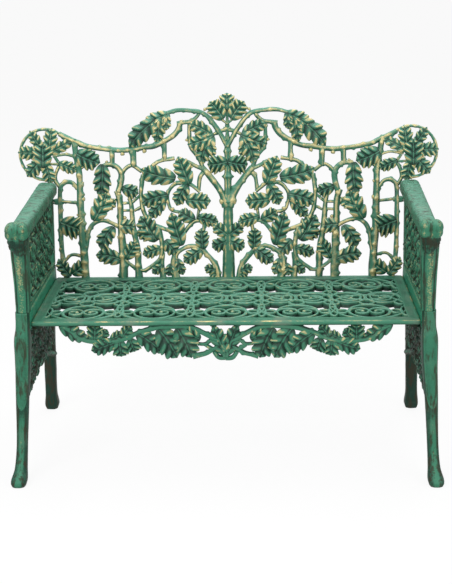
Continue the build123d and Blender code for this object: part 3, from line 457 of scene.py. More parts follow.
def stem(casting, spot, points, start, end, forward, seed, depth, step=1.1):
    """A bark-ridged branch along a curve, with the stubs of cut twigs."""
    place, unit = spot
    pick = random.Random(seed * 31 + 7)
    widths = np.linspace(start, end, len(points))
    line, along = evenly(smooth_line(np.column_stack([np.asarray(points, float), widths])), step)
    tangent = np.gradient(line[:, :2], axis=0)
    tangent /= np.linalg.norm(tangent, axis=1)[:, None]
    width = line[:, 2:3]
    where = along[:, None]
    angle = around(14)
    twist = 0.6 * wander(where / (5 * start), seed + 9)
    ridges = 0.08 * np.cos(3 * angle + 2 * twist + seed) + 0.05 * np.cos(5 * angle - 3 * twist)
    reach = width / 2 * (1 + 0.10 * wander(where / (2.0 * start), seed + 1) + ridges)
    stub = np.zeros_like(reach)
    for at in np.arange(pick.uniform(3, 7), along[-1] - 3, pick.uniform(9, 12)):
        lean = pick.choice((0.25, math.pi - 0.25, math.pi / 2, -0.3)) + pick.uniform(-0.3, 0.3)
        stub += bump_at(where - at, 0.34 * start) * np.clip(np.cos(angle - lean), 0, 1) ** 3
    reach = reach + 0.26 * width * stub
    u = line[:, :1] - tangent[:, 1:] * np.cos(angle) * reach
    v = line[:, 1:2] + tangent[:, :1] * np.cos(angle) * reach
    w = forward * MM + depth * np.sin(angle) * reach * unit
    front = np.sin(angle)
    high = tangent[:, :1] * np.cos(angle)
    # Front faces carry the rubbed gold; the term on the upper side is painted top light, lighter along the
    # top of a level branch.
    relief = 0.33 + 0.38 * front ** 3 + 0.14 * high + 0.9 * ridges + 0.2 * stub
    relief = relief + 0.12 * wander(where / (1.5 * start), seed + 4)
    casting.tube(place(u, v, w), np.clip(relief, 0, 1))


LEAF_FULLNESS, LEAF_SWEEP, LEAF_ROWS, LEAF_SMALL = 1.42, 0.62, 15, 58 * MM
LEAF_ACROSS = np.array([-1, -0.95, -0.84, -0.68, -0.50, -0.34, -0.20, -0.11, -0.045, 0,
                        0.045, 0.11, 0.20, 0.34, 0.50, 0.68, 0.84, 0.95, 1])[None, :]


def leaf(casting, spot, base, tip, width, bend, forward, seed, fold, thick):
    """A cast leaf: lobes that point forward, a vein to a lobe, and a ribbed middle."""
    place, unit = spot
    pick = random.Random(seed * 13 + 5)
    base, tip = np.array(base, float), np.array(tip, float)
    along = tip - base
    length = np.linalg.norm(along)
    ahead = along / length
    side = np.array([-ahead[1], ahead[0]])
    teeth = 3 if length * unit < LEAF_SMALL else 4
    s = np.linspace(0, 1, LEAF_ROWS * teeth + 1)[:, None]
    t = LEAF_ACROSS
    out = np.abs(t)
    phase = (s * teeth) % 1
    lobe = np.sin(math.pi / 2 * np.minimum(phase / 0.68, (1 - phase) / 0.32))
    vein = 0.5 - 0.5 * np.cos(2 * math.pi * phase ** 1.3)
    body = np.sin(math.pi * (0.015 + 0.985 * s) ** 0.72) ** (0.66 + 0.12 * s)
    half = width / 2 * LEAF_FULLNESS * body * (0.78 + 0.22 * lobe)
    sweep = LEAF_SWEEP * half * out * np.clip((1 - s) * 4, 0, 1) * np.clip(s * 5, 0.1, 1)
    lean = bend * length * 4 * s * (1 - s)
    u = base[0] + along[0] * s + ahead[0] * sweep + side[0] * (t * half + lean)
    v = base[1] + along[1] * s + ahead[1] * sweep + side[1] * (t * half + lean)
    room = width * unit * 1.15
    swell = np.clip(np.sin(math.pi * np.clip(s, 0, 1)), 0, 1) ** 0.5
    shoulder = np.clip(1 - t ** 2, 0, 1)
    wing = (1 - bump_at(t, 0.15)) * swell
    arch = 0.15 * room * shoulder ** 0.7 * swell
    furrow = -0.12 * room * bump_at(t, 0.15) * swell
    rib = 0.10 * room * bump_at(t, 0.055) * (1 - 0.5 * s)
    folds = fold * room * (0.9 * lobe ** 0.7 - 0.7 + 0.5 * vein) * wing * (0.35 + shoulder) ** 0.5
    droop = -0.14 * room * s ** 2 * pick.uniform(0.0, 1.6) + pick.uniform(-0.12, 0.12) * room * t * swell
    front = forward * MM + thick / 2 + arch + furrow + rib + folds + droop
    back = forward * MM - thick / 2 + 0.5 * arch - 0.4 * folds + droop
    wrap = slice(-2, 0, -1)
    u_ring, v_ring = np.hstack([u, u[:, wrap]]), np.hstack([v, v[:, wrap]])
    streak = 1.12 * vein ** 2.2 * np.clip(out * 3 - 0.3, 0, 1) + 0.3 * out ** 6
    streak = streak * (1 - 0.22 * side[1] * np.sign(t))
    # Gold on the veins, rims and midrib; painted shade in the notches between lobes and beside the midrib,
    # and the back face is painted darker.
    gold = 0.32 + 0.50 * streak - 0.24 * (1 - lobe) ** 2 + 0.40 * bump_at(t, 0.05)
    gold = gold - 0.14 * bump_at(out - 0.16, 0.10) + pick.uniform(-0.10, 0.08)
    casting.tube(place(u_ring, v_ring, np.hstack([front, back[:, wrap]])),
                 np.clip(np.hstack([gold, 0.8 * gold[:, wrap]]), 0, 1))


def knob(casting, spot, centre, radius, forward, seed):
    """A bud, or the scar of a cut twig."""
    place, unit = spot
    polar = np.linspace(0.1, math.pi - 0.1, 9)[:, None]
    angle = around(14)
    reach = radius * (1 + 0.12 * np.cos(3 * angle + seed)) * np.sin(polar)
    w = forward * MM + 1.2 * radius * unit * np.cos(polar) + 0 * angle
    casting.tube(place(centre[0] + reach * np.cos(angle), centre[1] + reach * np.sin(angle), w),
                 np.clip(0.48 + 0.45 * np.cos(polar) + 0 * angle, 0, 1))


def ring(casting, place, centre, radius, width, depth, seed):
    """A round branch bent into a wheel that is open towards the post."""
    turn = np.radians(np.linspace(*ROSETTE_ARC, 80))[:, None]
    section = around(12)
    rough = 0.10 * np.cos(13 * turn + 2 * np.cos(3 * turn) + seed) + 0.06 * np.cos(29 * turn + section)
    reach = radius + width / 2 * np.cos(section) * (1 + rough)
    w = depth / 2 * np.sin(section) * (1 + rough)
    gold = 0.36 + 0.22 * np.sin(section) + 0.26 * np.cos(section) + 1.2 * rough
    casting.tube(place(centre[0] + reach * np.cos(turn), centre[1] + reach * np.sin(turn), w),
                 np.clip(gold, 0, 1))


def mirrored(side, *points):
    """Points of the right end in millimetres, moved to the side's end."""
    return [(side * x, y, z) for x, y, z in points]


def rounded(count, power):
    """The two measures of a rounded square, from -1 to 1, at a number of points round it."""
    angle = around(count)
    across, up = np.cos(angle), np.sin(angle)
    return np.sign(across) * np.abs(across) ** power, np.sign(up) * np.abs(up) ** power


def beam(casting, start, end, size, seed, power=0.4, rows=None, level=0.45, lift=(0, 0, 1)):
    """A rounded bar between two points in millimetres; size is its width and its height."""
    columns = 32
    start, end = np.array(start, float), np.array(end, float)
    run = end - start
    length = np.linalg.norm(run)
    run /= length
    across = np.cross(run, np.array(lift, float))
    across /= np.linalg.norm(across)
    up = np.cross(across, run)
    a, b = rounded(columns, power)
    rows = rows or max(4, round(length / 6))
    s = np.linspace(0, 1, rows)[:, None]
    ends = np.minimum(1, np.minimum(s, 1 - s) * length / (0.25 * min(size)))
    shrink = 1 - 0.22 * (1 - ends) ** 2
    worn = 0.5 * wander(s * length / 14 + 0.35 * np.arange(columns)[None, :] / columns, seed)
    half_width, half_height = size[0] / 2 * shrink, size[1] / 2 * shrink
    points = (start + run * s[..., None] * length + across * (a * (half_width - 0.4 + 0.3 * worn))[..., None]
              + up * (b * (half_height - 0.4 + 0.3 * worn))[..., None])
    edge = np.clip(np.abs(a * b) * 1.2 - 0.6, 0, 1) + 0 * s
    # The last term is painted top light: a bar is painted lighter on the side it is lifted toward, most often
    # its top.
    casting.tube(points * MM, np.clip(level + 0.5 * edge + 0.1 * worn + 0.12 * b, 0, 1))


def limb(casting, sections, side, carve):
    """An upright limb through (x, y, z, width, depth) sections; carve shapes its skin."""
    columns, step = 56, 4
    line = smooth_line(sections, 14)
    height = line[0, 2] - line[-1, 2]
    where = np.linspace(0, height, round(height / step) + 1)
    line = np.stack([np.interp(where, line[0, 2] - line[:, 2], column) for column in line.T], -1)
    a, b = rounded(columns, 0.62)
    angle = around(columns)
    lift, relief = carve(line[:, 2:3], angle)
    x = line[:, 0:1] + a * (line[:, 3:4] / 2 + lift)
    y = line[:, 1:2] + b * (line[:, 4:5] / 2 + lift)
    z = line[:, 2:3] + 0 * x
    casting.tube(np.stack([side * x, y, np.maximum(z, 0.3)], -1) * MM, np.clip(relief, 0, 1))


def blended(name, balls, voxel, iterations):
    """Ellipsoids (centre, radii) in millimetres melted into one skin."""
    work = bmesh.new()
    for centre, radii in balls:
        place = Matrix.Translation(Vector(centre) * MM) @ Matrix.Diagonal((*(Vector(radii) * MM), 1))
        bmesh.ops.create_icosphere(work, subdivisions=4, radius=1, matrix=place)
    mesh = bpy.data.meshes.new(name)
    work.to_mesh(mesh)
    work.free()
    source = bpy.data.objects.new(name, mesh)
    bpy.context.scene.collection.objects.link(source)
    remesh = source.modifiers.new("Melt", "REMESH")
    remesh.mode = "VOXEL"
    remesh.voxel_size = voxel * MM
    soften = source.modifiers.new("Soften", "SMOOTH")
    soften.iterations = iterations
    soften.factor = 0.5
    evaluated = source.evaluated_get(bpy.context.evaluated_depsgraph_get())
    melted = bpy.data.meshes.new_from_object(evaluated)
    bpy.data.objects.remove(source)
    bpy.data.meshes.remove(mesh)
    count = len(melted.vertices)
    points, normals = np.empty(3 * count), np.empty(3 * count)
    melted.vertices.foreach_get("co", points)
    melted.vertices.foreach_get("normal", normals)
    faces = [tuple(polygon.vertices) for polygon in melted.polygons]
    bpy.data.meshes.remove(melted)
    return points.reshape(-1, 3), normals.reshape(-1, 3), faces


# ---------------------------------------------------------------------------
# Materials
# ---------------------------------------------------------------------------
class Wire:
    """A socket's value in a material, which takes part in sums by adding Math nodes."""

    def __init__(self, paint, socket):
        self.paint, self.socket = paint, socket

    def sum(self, operation, *values):
        return self.paint.node("ShaderNodeMath", {"operation": operation}, dict(enumerate(values)))

    def __add__(self, other):
        return self.sum("ADD", self, other)

    def __sub__(self, other):
        return self.sum("SUBTRACT", self, other)

    def __rsub__(self, other):
        return self.sum("SUBTRACT", other, self)

    def __mul__(self, other):
        return self.sum("MULTIPLY", self, other)

    __radd__, __rmul__ = __add__, __mul__

    def step(self, low, high):
        """0 below low, 1 above high, and smooth between them."""
        return self.paint.node("ShaderNodeMapRange", {"interpolation_type": "SMOOTHSTEP"},
                               {"Value": self, "From Min": low, "From Max": high})


class Paint:
    """One material's nodes, as they are added."""

    def __init__(self, name):
        self.material = bpy.data.materials.new(name)
        self.material.use_nodes = True
        self.tree = self.material.node_tree
        self.tree.nodes.clear()
        self.place = self.node("ShaderNodeTexCoord", output="Object")

    def node(self, kind, settings=None, values=None, output=0):
        made = self.tree.nodes.new(kind)
        for name, value in (settings or {}).items():
            setattr(made, name, value)
        for name, value in (values or {}).items():
            if isinstance(value, Wire):
                self.tree.links.new(value.socket, made.inputs[name])
            else:
                made.inputs[name].default_value = value
        return Wire(self, made.outputs[output]) if len(made.outputs) else made

    def noise(self, size, detail=3, stretch=(1, 1, 1), rough=0.5):
        """Cloudy variation whose patches are about size metres across."""
        where = self.place
        if tuple(stretch) != (1, 1, 1):
            where = self.node("ShaderNodeMapping", {},
                              {"Vector": where, "Scale": tuple(1 / s for s in stretch)})
        return self.node("ShaderNodeTexNoise", {}, {"Vector": where, "Scale": 1 / size, "Detail": detail,
                                                    "Roughness": rough})

    def blend(self, share, below, above):
        return self.node("ShaderNodeMix", {"data_type": "RGBA"}, {0: share, 6: below, 7: above}, output=2)

    def surface(self, colour, roughness, metallic, bump, fixed=None):
        values = {"Base Color": colour, "Roughness": roughness, "Metallic": metallic, "Normal": bump}
        shader = self.node("ShaderNodeBsdfPrincipled", {}, {**values, **(fixed or {})})
        self.node("ShaderNodeOutputMaterial", {}, {"Surface": shader})
        return self.material


def linear(colour):
    """A gamma colour as the four linear numbers of a shader socket."""
    return tuple(c / 12.92 if c <= 0.04045 else ((c + 0.055) / 1.055) ** 2.4 for c in colour) + (1.0,)


def verdigris(name, gilt=(0.54, 0.84), gilding=0.9, pale=0.6, patches=0.25, streaks=0.0,
              run=(0.011, (1, 1, 6)), grains=(0.008, 0.36), sheen=0.5, base="verdigris"):
    """Patinated cast metal: green over painted shade in the recesses, bloom, chalk with painted top light on
    upward faces, grime, and gold on the high relief.
    """
    patina = bpy.context.scene.bench_patina
    paint = Paint("verdigris_" + name)
    relief = paint.node("ShaderNodeAttribute", {"attribute_name": "relief"}, output="Fac")
    normal = paint.node("ShaderNodeNewGeometry", output="Normal")
    upward = paint.node("ShaderNodeSeparateXYZ", {}, {"Vector": normal}, output="Z")
    patch = paint.noise(0.05, 3)
    grain = paint.noise(grains[0], 4, rough=0.6)
    fine = paint.noise(0.0022, 2)
    # Painted shade: low relief turns to the shade green, standing in for shade in recesses, grooves and on
    # the backs of parts.
    level = relief + 0.24 * (grain - 0.5)
    colour = paint.blend(level.step(0.08, 0.46), linear(patina.shade), linear(getattr(patina, base)))
    colour = paint.blend(patches * patch.step(0.5, 0.72), colour, linear(patina.stone))
    # Chalky bloom and painted top light: surfaces that face up, and high relief, are blended to pale
    # verdigris.
    chalk_and_top_light = (upward + 0.8 * (patch - 0.5) + 0.7 * (relief - 0.45)).step(0.15, 0.95)
    colour = paint.blend(pale * chalk_and_top_light, colour, linear(patina.pale))
    if streaks:
        # Grime runs in vertical streaks; the relief term makes it heavier where relief is low, so it adds to
        # the painted shade there.
        drip = paint.noise(run[0], 4, stretch=run[1], rough=0.65)
        colour = paint.blend(streaks * (drip - 0.10 * (relief - 0.5)).step(0.50, 0.62),
                             colour, linear(patina.grime))
    rubbed = gilding * (relief + grains[1] * (grain - 0.5) + 0.22 * (patch - 0.5)).step(*gilt)
    colour = paint.blend(rubbed, colour, linear(patina.gilt))
    height = 0.6 * grain + 0.4 * fine
    bump = paint.node("ShaderNodeBump", {}, {"Strength": 0.45, "Distance": 0.0012, "Height": height})
    roughness = 0.58 - 0.20 * rubbed + 0.16 * (fine - 0.5)
    return paint.surface(colour, roughness, 0.30 * rubbed, bump, {"Specular IOR Level": sheen})


def bearer_paint():
    """Worn black-green paint on the flat bars under the seat."""
    patina = bpy.context.scene.bench_patina
    paint = Paint("bearer_paint")
    wear = paint.noise(0.03, 5, rough=0.7)
    colour = paint.blend(wear.step(0.55, 0.7), linear(patina.bearer), linear(patina.grime))
    bump = paint.node("ShaderNodeBump", {},
                      {"Strength": 0.3, "Distance": 0.0008, "Height": paint.noise(0.004, 3)})
    return paint.surface(colour, 0.5 + 0.3 * wear, 0.0, bump)


ZINC, ZINC_BLOOM = (0.62, 0.62, 0.58), (0.40, 0.31, 0.22)


def fastener_steel():
    """Dull zinc-plated steel with a brown bloom."""
    paint = Paint("fastener_steel")
    bloom = paint.noise(0.006, 4, rough=0.65)
    colour = paint.blend(bloom.step(0.48, 0.66), linear(ZINC), linear(ZINC_BLOOM))
    bump = paint.node("ShaderNodeBump", {},
                      {"Strength": 0.2, "Distance": 0.0004, "Height": paint.noise(0.001, 2)})
    return paint.surface(colour, 0.38 + 0.3 * bloom, 0.85 - 0.5 * bloom.step(0.5, 0.7), bump)


# ---------------------------------------------------------------------------
# The castings
# ---------------------------------------------------------------------------
def trunk(casting, depth):
    """The tree's trunk up the middle of the back, with collars where branches spring."""
    place, unit = on_back(1)
    profile = smooth_line([(0, v, width) for v, width in TRUNK], 10)
    where = np.linspace(profile[0, 1], profile[-1, 1], 190)
    width = np.interp(-where, -profile[:, 1], profile[:, 2])[:, None]
    angle = around(28)
    v = where[:, None]
    ridges = (0.05 * np.cos(6 * angle + 1.2 * wander(v / 22, 3))
              + 0.04 * np.cos(9 * angle - 1.5 * wander(v / 16, 5)))
    reach = width / 2 * (1 + 0.05 * wander(v / 6, 2) + ridges)
    u = reach * np.cos(angle)
    w = depth * 0.8 * np.sin(angle) * reach * unit
    relief = 0.40 + 0.14 * np.sin(angle) + 2.6 * ridges + 0.12 * wander(v / 4, 8)
    casting.tube(place(u, v + 0 * u, w), np.clip(relief, 0, 1))


def foliage(casting, spot, stems, leaves, settings, seed):
    for k, (points, start, end, forward) in enumerate(stems):
        stem(casting, spot, points, start, end, forward, seed + k, settings.stem_depth)
    for k, (base, tip, width, bend, forward) in enumerate(leaves):
        leaf(casting, spot, base, tip, width, bend, forward, seed + 200 + k, settings.leaf_fold,
             settings.leaf_thickness)


def rosette(casting, side, settings):
    """The pierced wheel of leaves above an arm."""
    spot = on_back(side)
    u, v = ROSETTE
    ring(casting, spot[0], ROSETTE, ROSETTE_RADIUS, *ROSETTE_RING, seed=side)
    for k, ((a, b), (c, d), width) in enumerate(ROSETTE_LEAVES):
        middle = k == len(ROSETTE_LEAVES) - 1
        leaf(casting, spot, (u + a, v + b), (u + c, v + d), width, 0.0, 9 if middle else 3,
             400 + k + 20 * side, settings.leaf_fold, settings.leaf_thickness)


def make_back(settings):
    casting = Casting()
    trunk(casting, settings.stem_depth)
    for side in SIDES:
        spot = on_back(side)
        foliage(casting, spot, BACK_STEMS, BACK_LEAVES, settings, 40 if side > 0 else 840)
        for k, (centre, radius) in enumerate(BACK_KNOBS):
            knob(casting, spot, centre, radius, 1.5, k)
        rosette(casting, side, settings)
        beam(casting, *mirrored(side, *BACK_LUG), BACK_LUG_SIZE, seed=5 + side, power=0.8)
    piece("back_foliage", casting.mesh("back_foliage"), verdigris("back", **FINISHES["back"]),
          ["back_panel"])
    rail = Casting()
    ends = [(side * SEAT_HALF / MM, BACK_RAIL_Y, BACK_RAIL_Z) for side in (-1, 1)]
    beam(rail, *ends, BACK_RAIL_SIZE, seed=11, rows=180)
    piece("back_rail", rail.mesh("back_rail"), verdigris("back_rail", **FINISHES["back_rail"]),
          ["back_panel"])


# How far the lattice lies under the rim, and a scroll's eye: its radius and its height
LATTICE_SUNK, SCROLL_EYE = 1.2 * MM, (6.2, -8.2)
RIB_PROFILE = np.array([(0.5, -1), (0.5, -0.6), (0.5, -0.22), (0.44, -0.07), (0.27, 0.0), (0, 0.02),
                        (-0.27, 0.0), (-0.44, -0.07), (-0.5, -0.22), (-0.5, -0.6), (-0.5, -1), (0, -1)])
# Relief round a rib's section: gold on the rounded top edges, painted shade down the walls into the openings.
RIB_RELIEF = np.array([0.05, 0.10, 0.40, 0.78, 0.62, 0.48, 0.62, 0.78, 0.40, 0.10, 0.05, 0.02])


def ring_line(centre, radius, stretch=1.0):
    """Points round a ring in millimetres, drawn out in y by stretch."""
    angle = np.linspace(0, 2 * math.pi, max(20, round(radius * max(1, 0.6 * stretch) * 1.8)), endpoint=False)
    return np.array(centre) + radius * np.stack([np.cos(angle), stretch * np.sin(angle)], -1)


def scroll_line(centre, size, turn, start):
    """Points of a spiral that leaves a wall and curls in to its eye."""
    outer, eye, turns = size
    t = np.linspace(0, 1, round(outer * turns * 1.3))
    angle = start + turn * turns * 2 * math.pi * t
    return (np.array(centre)
            + (outer + (eye - outer) * t)[:, None] * np.stack([np.cos(angle), np.sin(angle)], -1))


def seat_rib(casting, line, closed, width, top, depth, window, phase):
    """A rib of the seat along a line, thick and thin in turn, where it lies within the window."""
    middle, order = line * MM, np.arange(len(line))
    ahead = np.roll(middle, -1, 0) - np.roll(middle, 1, 0) if closed else np.gradient(middle, axis=0)
    ahead /= np.linalg.norm(ahead, axis=1)[:, None]
    share = (order / len(line))[:, None]
    across, down = RIB_PROFILE[None, :, 0], RIB_PROFILE[None, :, 1]
    wide = width * (1 + 0.28 * np.cos(4 * math.pi * share + phase)) * (1 if closed else 1 - 0.25 * share)
    x = middle[:, :1] + ahead[:, 1:] * across * wide
    y = middle[:, 1:] - ahead[:, :1] * across * wide
    points = np.stack([x, y, top + depth * down + 0 * x], -1)
    relief = np.clip(RIB_RELIEF[None, :] + 0.14 * wander(order[:, None] / 3, len(line) + phase) + 0 * x, 0, 1)
    inside = np.all(np.abs(middle - np.array(window[0])) < np.array(window[1]) + 2 * MM, axis=1)
    if inside.all() and closed:
        casting.hoop(points, relief)
        return
    if closed:
        order = np.roll(order, -int(np.argmin(inside)))
    for run in np.split(order, np.flatnonzero(np.diff(inside[order].astype(int))) + 1):
        if inside[run[0]] and len(run) > 3:
            casting.tube(points[run], relief[run])


def seat_pattern(middle, pitch, row):
    """Every rib's line, whether it is closed, and its share of the full width, with the scrolls' eyes."""
    lines, eyes = [], []

    def scroll(centre, size, turn, start):
        lines.append((scroll_line(centre, size, turn, start), False, 1.0))
        eyes.append(lines[-1][0][-1])

    for inward in SIDES:
        y = middle - inward * row
        for column in range(SEAT_COLUMNS):
            x = (column - (SEAT_COLUMNS - 1) / 2) * pitch
            lines.append((ring_line((x, y), END_RING), True, 1.0))
            lines.append((ring_line((x, y + inward * ARCH_SET), ARCH_RADIUS), True, 0.9))
            for side in SIDES:
                scroll((x + side * END_SCROLL_SET, y), END_SCROLL, side * inward, 0 if side > 0 else math.pi)
                lines.append((ring_line((x + side * SMALL_BEAD_SET, y), SMALL_BEAD), True, 0.9))
        for line in range(SEAT_COLUMNS + 1):
            lines.append((ring_line(((line - SEAT_COLUMNS / 2) * pitch, y), LENS[0], LENS[1] / LENS[0]),
                          True, 0.9))
        for bead in range(2 * SEAT_COLUMNS + 1):
            place = ((bead - SEAT_COLUMNS) * pitch / 2, middle - inward * LARGE_BEAD_ROW)
            lines.append((ring_line(place, LARGE_BEAD), True, 0.9))
    for link in range(2 * SEAT_COLUMNS):
        centre, odd = ((link + 0.5 - SEAT_COLUMNS) * pitch / 2, middle), link % 2
        lines.append((ring_line(centre, MIDDLE_RING), True, 1.0))
        scroll(centre, MIDDLE_SCROLL, 1 if odd else -1, 0 if odd else math.pi)
    return lines, eyes


def make_seat(settings):
    rim = Casting()
    low_y, high_y = SEAT_LOW[1], SEAT_HIGH[1]
    front, rear, end = 34 * MM, 24 * MM, 30 * MM
    outer = [(-SEAT_HALF, low_y), (SEAT_HALF, low_y), (SEAT_HALF, high_y), (-SEAT_HALF, high_y)]
    inner = [(-SEAT_HALF + end, low_y + front), (SEAT_HALF - end, low_y + front),
             (SEAT_HALF - end, high_y - rear), (-SEAT_HALF + end, high_y - rear)]
    thick = settings.rim_thickness
    profile = [(0.10, -1), (0.02, -0.82), (0, -0.55), (0.02, -0.28), (0.07, -0.10), (0.16, -0.015),
               (0.24, 0.0), (0.34, -0.05), (0.45, -0.065), (0.75, -0.065), (0.90, -0.03),
               (0.96, -0.02), (1.0, -0.12), (1.0, -0.6), (0.97, -1)]
    # Relief round the rim's section: gold on the rolled front edge, painted shade low on its faces and down
    # the window's inner wall.
    relief = [0.2, 0.3, 0.45, 0.62, 0.95, 0.92, 0.66, 0.40, 0.36, 0.36, 0.52, 0.62, 0.4, 0.1, 0.1]
    rows, levels = [], []
    for k in range(4):
        a, b = np.array(outer[k]), np.array(outer[(k + 1) % 4])
        c, d = np.array(inner[k]), np.array(inner[(k + 1) % 4])
        count = round(np.linalg.norm(b - a) / (7 * MM))
        for i in range(count):
            f = i / count
            near, far = a + (b - a) * f, c + (d - c) * f
            worn = noise.noise(Vector((i * 0.09, k * 5.0, 0))) * 0.35 * MM
            rows.append([(*(near + (far - near) * share),
                          SEAT_TOP + thick * drop + worn * (drop > -0.3) - 0.4 * MM)
                         for share, drop in profile])
            levels.append([value + 0.25 * noise.noise(Vector((i * 0.13, k * 3.0, 2))) for value in relief])
    rim.hoop(np.array(rows), np.array(levels))
    beam(rim, *SEAT_FLANGE, SEAT_FLANGE_SIZE, seed=21, rows=160)
    piece("seat_rim", rim.mesh("seat_rim"), verdigris("rim", **FINISHES["rim"]),
          ["seat_panel"])
    lattice = Casting()
    low, high = low_y + front, high_y - rear
    middle, depth = (low + high) / 2, settings.rib_depth - LATTICE_SUNK
    window = ((0, middle), (SEAT_HALF - end, (high - low) / 2))
    top = SEAT_TOP - LATTICE_SUNK
    pitch = 2 * (SEAT_HALF - end) / SEAT_COLUMNS
    lines, eyes = seat_pattern(middle / MM, pitch / MM, ROW_SHARE * (high - low) / MM)
    for k, (line, closed, share) in enumerate(lines):
        seat_rib(lattice, line, closed, share * settings.rib_width, top, depth, window, phase=1.6 * k)
    for x, y in eyes:
        knob(lattice, (on_seat, MM), (x, y), *SCROLL_EYE, seed=x)
    piece("seat_lattice", lattice.mesh("seat_lattice"), verdigris("lattice", **FINISHES["lattice"]),
          ["seat_panel"])


def make_apron(settings):
    casting = Casting()
    # Painted shade: the apron, under the seat's front edge, is painted a little darker.
    casting.painted_shade = 0.08
    for side in SIDES:
        spot = on_apron(side)
        foliage(casting, spot, APRON_STEMS, APRON_LEAVES, settings, 1640 if side > 0 else 2040)
        for x in APRON_LUGS:
            ends = mirrored(side, *[(x, y, APRON_LUG_Z) for y in APRON_LUG_SPAN])
            beam(casting, *ends, APRON_LUG_SIZE, seed=x)
    piece("apron_foliage", casting.mesh("apron_foliage"), verdigris("apron", **FINISHES["apron"]),
          ["apron"])


def vine(casting, spot, foot, low, high, sway, blade, width, seed, settings):
    """A wavy upright branch with leaves to both sides in turn."""
    points = [(foot + sway * math.sin(k * math.pi / 2), low + (high - low) * k / 4) for k in range(5)]
    stem(casting, spot, points, 11, 8, 0, seed, settings.stem_depth, step=PANEL_STEP)
    count = max(2, round(abs(high - low) / (0.62 * blade)))
    for k in range(count):
        side = 1 if k % 2 else -1
        base = (foot + sway * math.sin(k * 2 * math.pi / count), low + (high - low) * (k + 0.3) / count)
        tip = (base[0] + side * blade * 0.82, base[1] + math.copysign(blade * 0.57, high - low))
        leaf(casting, spot, base, tip, width, 0.05, 1, seed + 7 * k,
             settings.leaf_fold, settings.leaf_thickness)


def vines(casting, spot, feet, low, high, size, seed, settings):
    """Wavy branches side by side, which start to either hand in turn."""
    sway, blade, width = size
    for k, foot in enumerate(feet):
        vine(casting, spot, foot, low, high, sway if k % 2 else -sway, blade, width, seed + 9 * k,
             settings)


def from_front(angle):
    """The same direction, measured from the front and kept between -pi and pi."""
    return np.arctan2(np.sin(angle + math.pi / 2), np.cos(angle + math.pi / 2))


def bark_at(z, angle, seed, count, ridge, drift=60, patch=26, swell=0.3):
    """Bark round a limb: ridges that drift as they rise, over slow swelling."""
    return (wander(z / patch + 0 * angle, seed) * swell
            + ridge * np.cos(count * angle + 1.5 * wander(z / drift, seed + 3)))


def fluted(seed):
    """The posts' skin: a rounded rib down the front between grooves, over bark."""
    def carve(z, angle):
        turn = from_front(angle)
        rib = bump_at(turn, 0.24)
        groove = bump_at(np.abs(turn) - 0.58, 0.13)
        bark = bark_at(z, angle, seed, 9, 0.5)
        lift = 1.6 * rib - 1.6 * groove + 0.5 * bark
        relief = (0.30 + 0.44 * rib - 0.20 * groove + 0.10 * bark
                  + 0.30 * bump_at(np.abs(turn) - 0.86, 0.08) + 0 * z)
        return lift, relief
    return carve


def leg_skin(seed):
    """The front leg's skin: the post's rib ends in a raised tongue with a rounded tip."""
    def carve(z, angle):
        turn = from_front(angle)
        tongue_end = 200.0
        reach = (0.62 * np.sqrt(np.clip((z - tongue_end) / 30, 0, 1))
                 * np.clip(1.25 - (z - tongue_end) / 900, 0, 1))
        inside = 1 / (1 + np.exp((np.abs(turn) - reach) * 14))
        inside = inside * (z > tongue_end - 2)
        edge = bump_at(np.abs(turn) - reach, 0.10) * (z > tongue_end - 4)
        below = bump_at(turn, 0.35) * np.clip((tongue_end - 8 - z) / 40, 0, 1)
        bark = bark_at(z, angle, seed, 8, 0.4, drift=70)
        lift = 1.9 * inside + 0.9 * edge + 0.8 * below + 0.4 * bark
        relief = 0.26 + 0.20 * inside + 0.30 * edge + 0.30 * below + 0.08 * bark + 0 * z
        return lift, relief
    return carve


def plain_skin(seed):
    """The rear leg's skin: bark alone."""
    def carve(z, angle):
        bark = bark_at(z, angle, seed, 7, 0.6, patch=30, swell=0.4)
        return 0.6 * bark, 0.42 + 0.14 * bark + 0 * z
    return carve


def arm_rail(casting, side, seed):
    """The rounded arm, with a coat of fine crosswise hair and a domed rear end."""
    start, end = ARM_SPAN
    y = np.linspace(start, end, 400)[:, None]
    a, b = rounded(44, 0.64)
    angle = around(44)
    sway = 0.7 * wander(3 * np.cos(angle) + y / 90, seed) + 0.35 * np.sin(angle * 3)
    hair = np.cos(2 * math.pi * (y / HAIR_PITCH + sway)) * (0.7 + 0.5 * wander(y / 9 + 2 * angle, seed + 2))
    dome = np.sqrt(np.clip(1 - np.clip((y - (end - 10)) / 11, 0, 1) ** 2, 0.3, 1))
    flare = (y - start) / (end - start)
    x = (ARM_X + ARM_FLARE[0] * flare + a * (ARM_SIZE[0] / 2 + ARM_FLARE[1] * flare - 1.2) * dome
         + HAIR_LIFT * a * hair)
    z = ARM_TOP - ARM_SIZE[1] / 2 + b * (ARM_SIZE[1] / 2 - 1.6) * dome + HAIR_LIFT * b * hair
    # The sine term is painted top light: the top of the rail is lighter than its sides and underside.
    relief = 0.34 + 0.26 * hair + 0.10 * np.sin(angle) + 0.10 * wander(y / 20 + 3 * angle, seed + 5)
    casting.tube(np.stack([side * x, y + 0 * x, z], -1) * MM, np.clip(relief, 0, 1))


HEAD = [((6, -250, 684), (26, 30, 26)), ((4, -236, 676), (24, 26, 28)), ((-7, -266, 693), (16, 26, 19)),
        ((18, -267, 693), (17.5, 26, 19)), ((-7, -270, 682), (16, 21, 17)), ((18, -271, 682), (17, 21, 17)),
        ((7, -264, 663), (24, 20, 20)), ((8, -261, 650), (22, 18, 17)), ((3, -257, 638), (16, 15, 16)),
        ((8, -232, 650), (20, 22, 34))]
BROW = 669


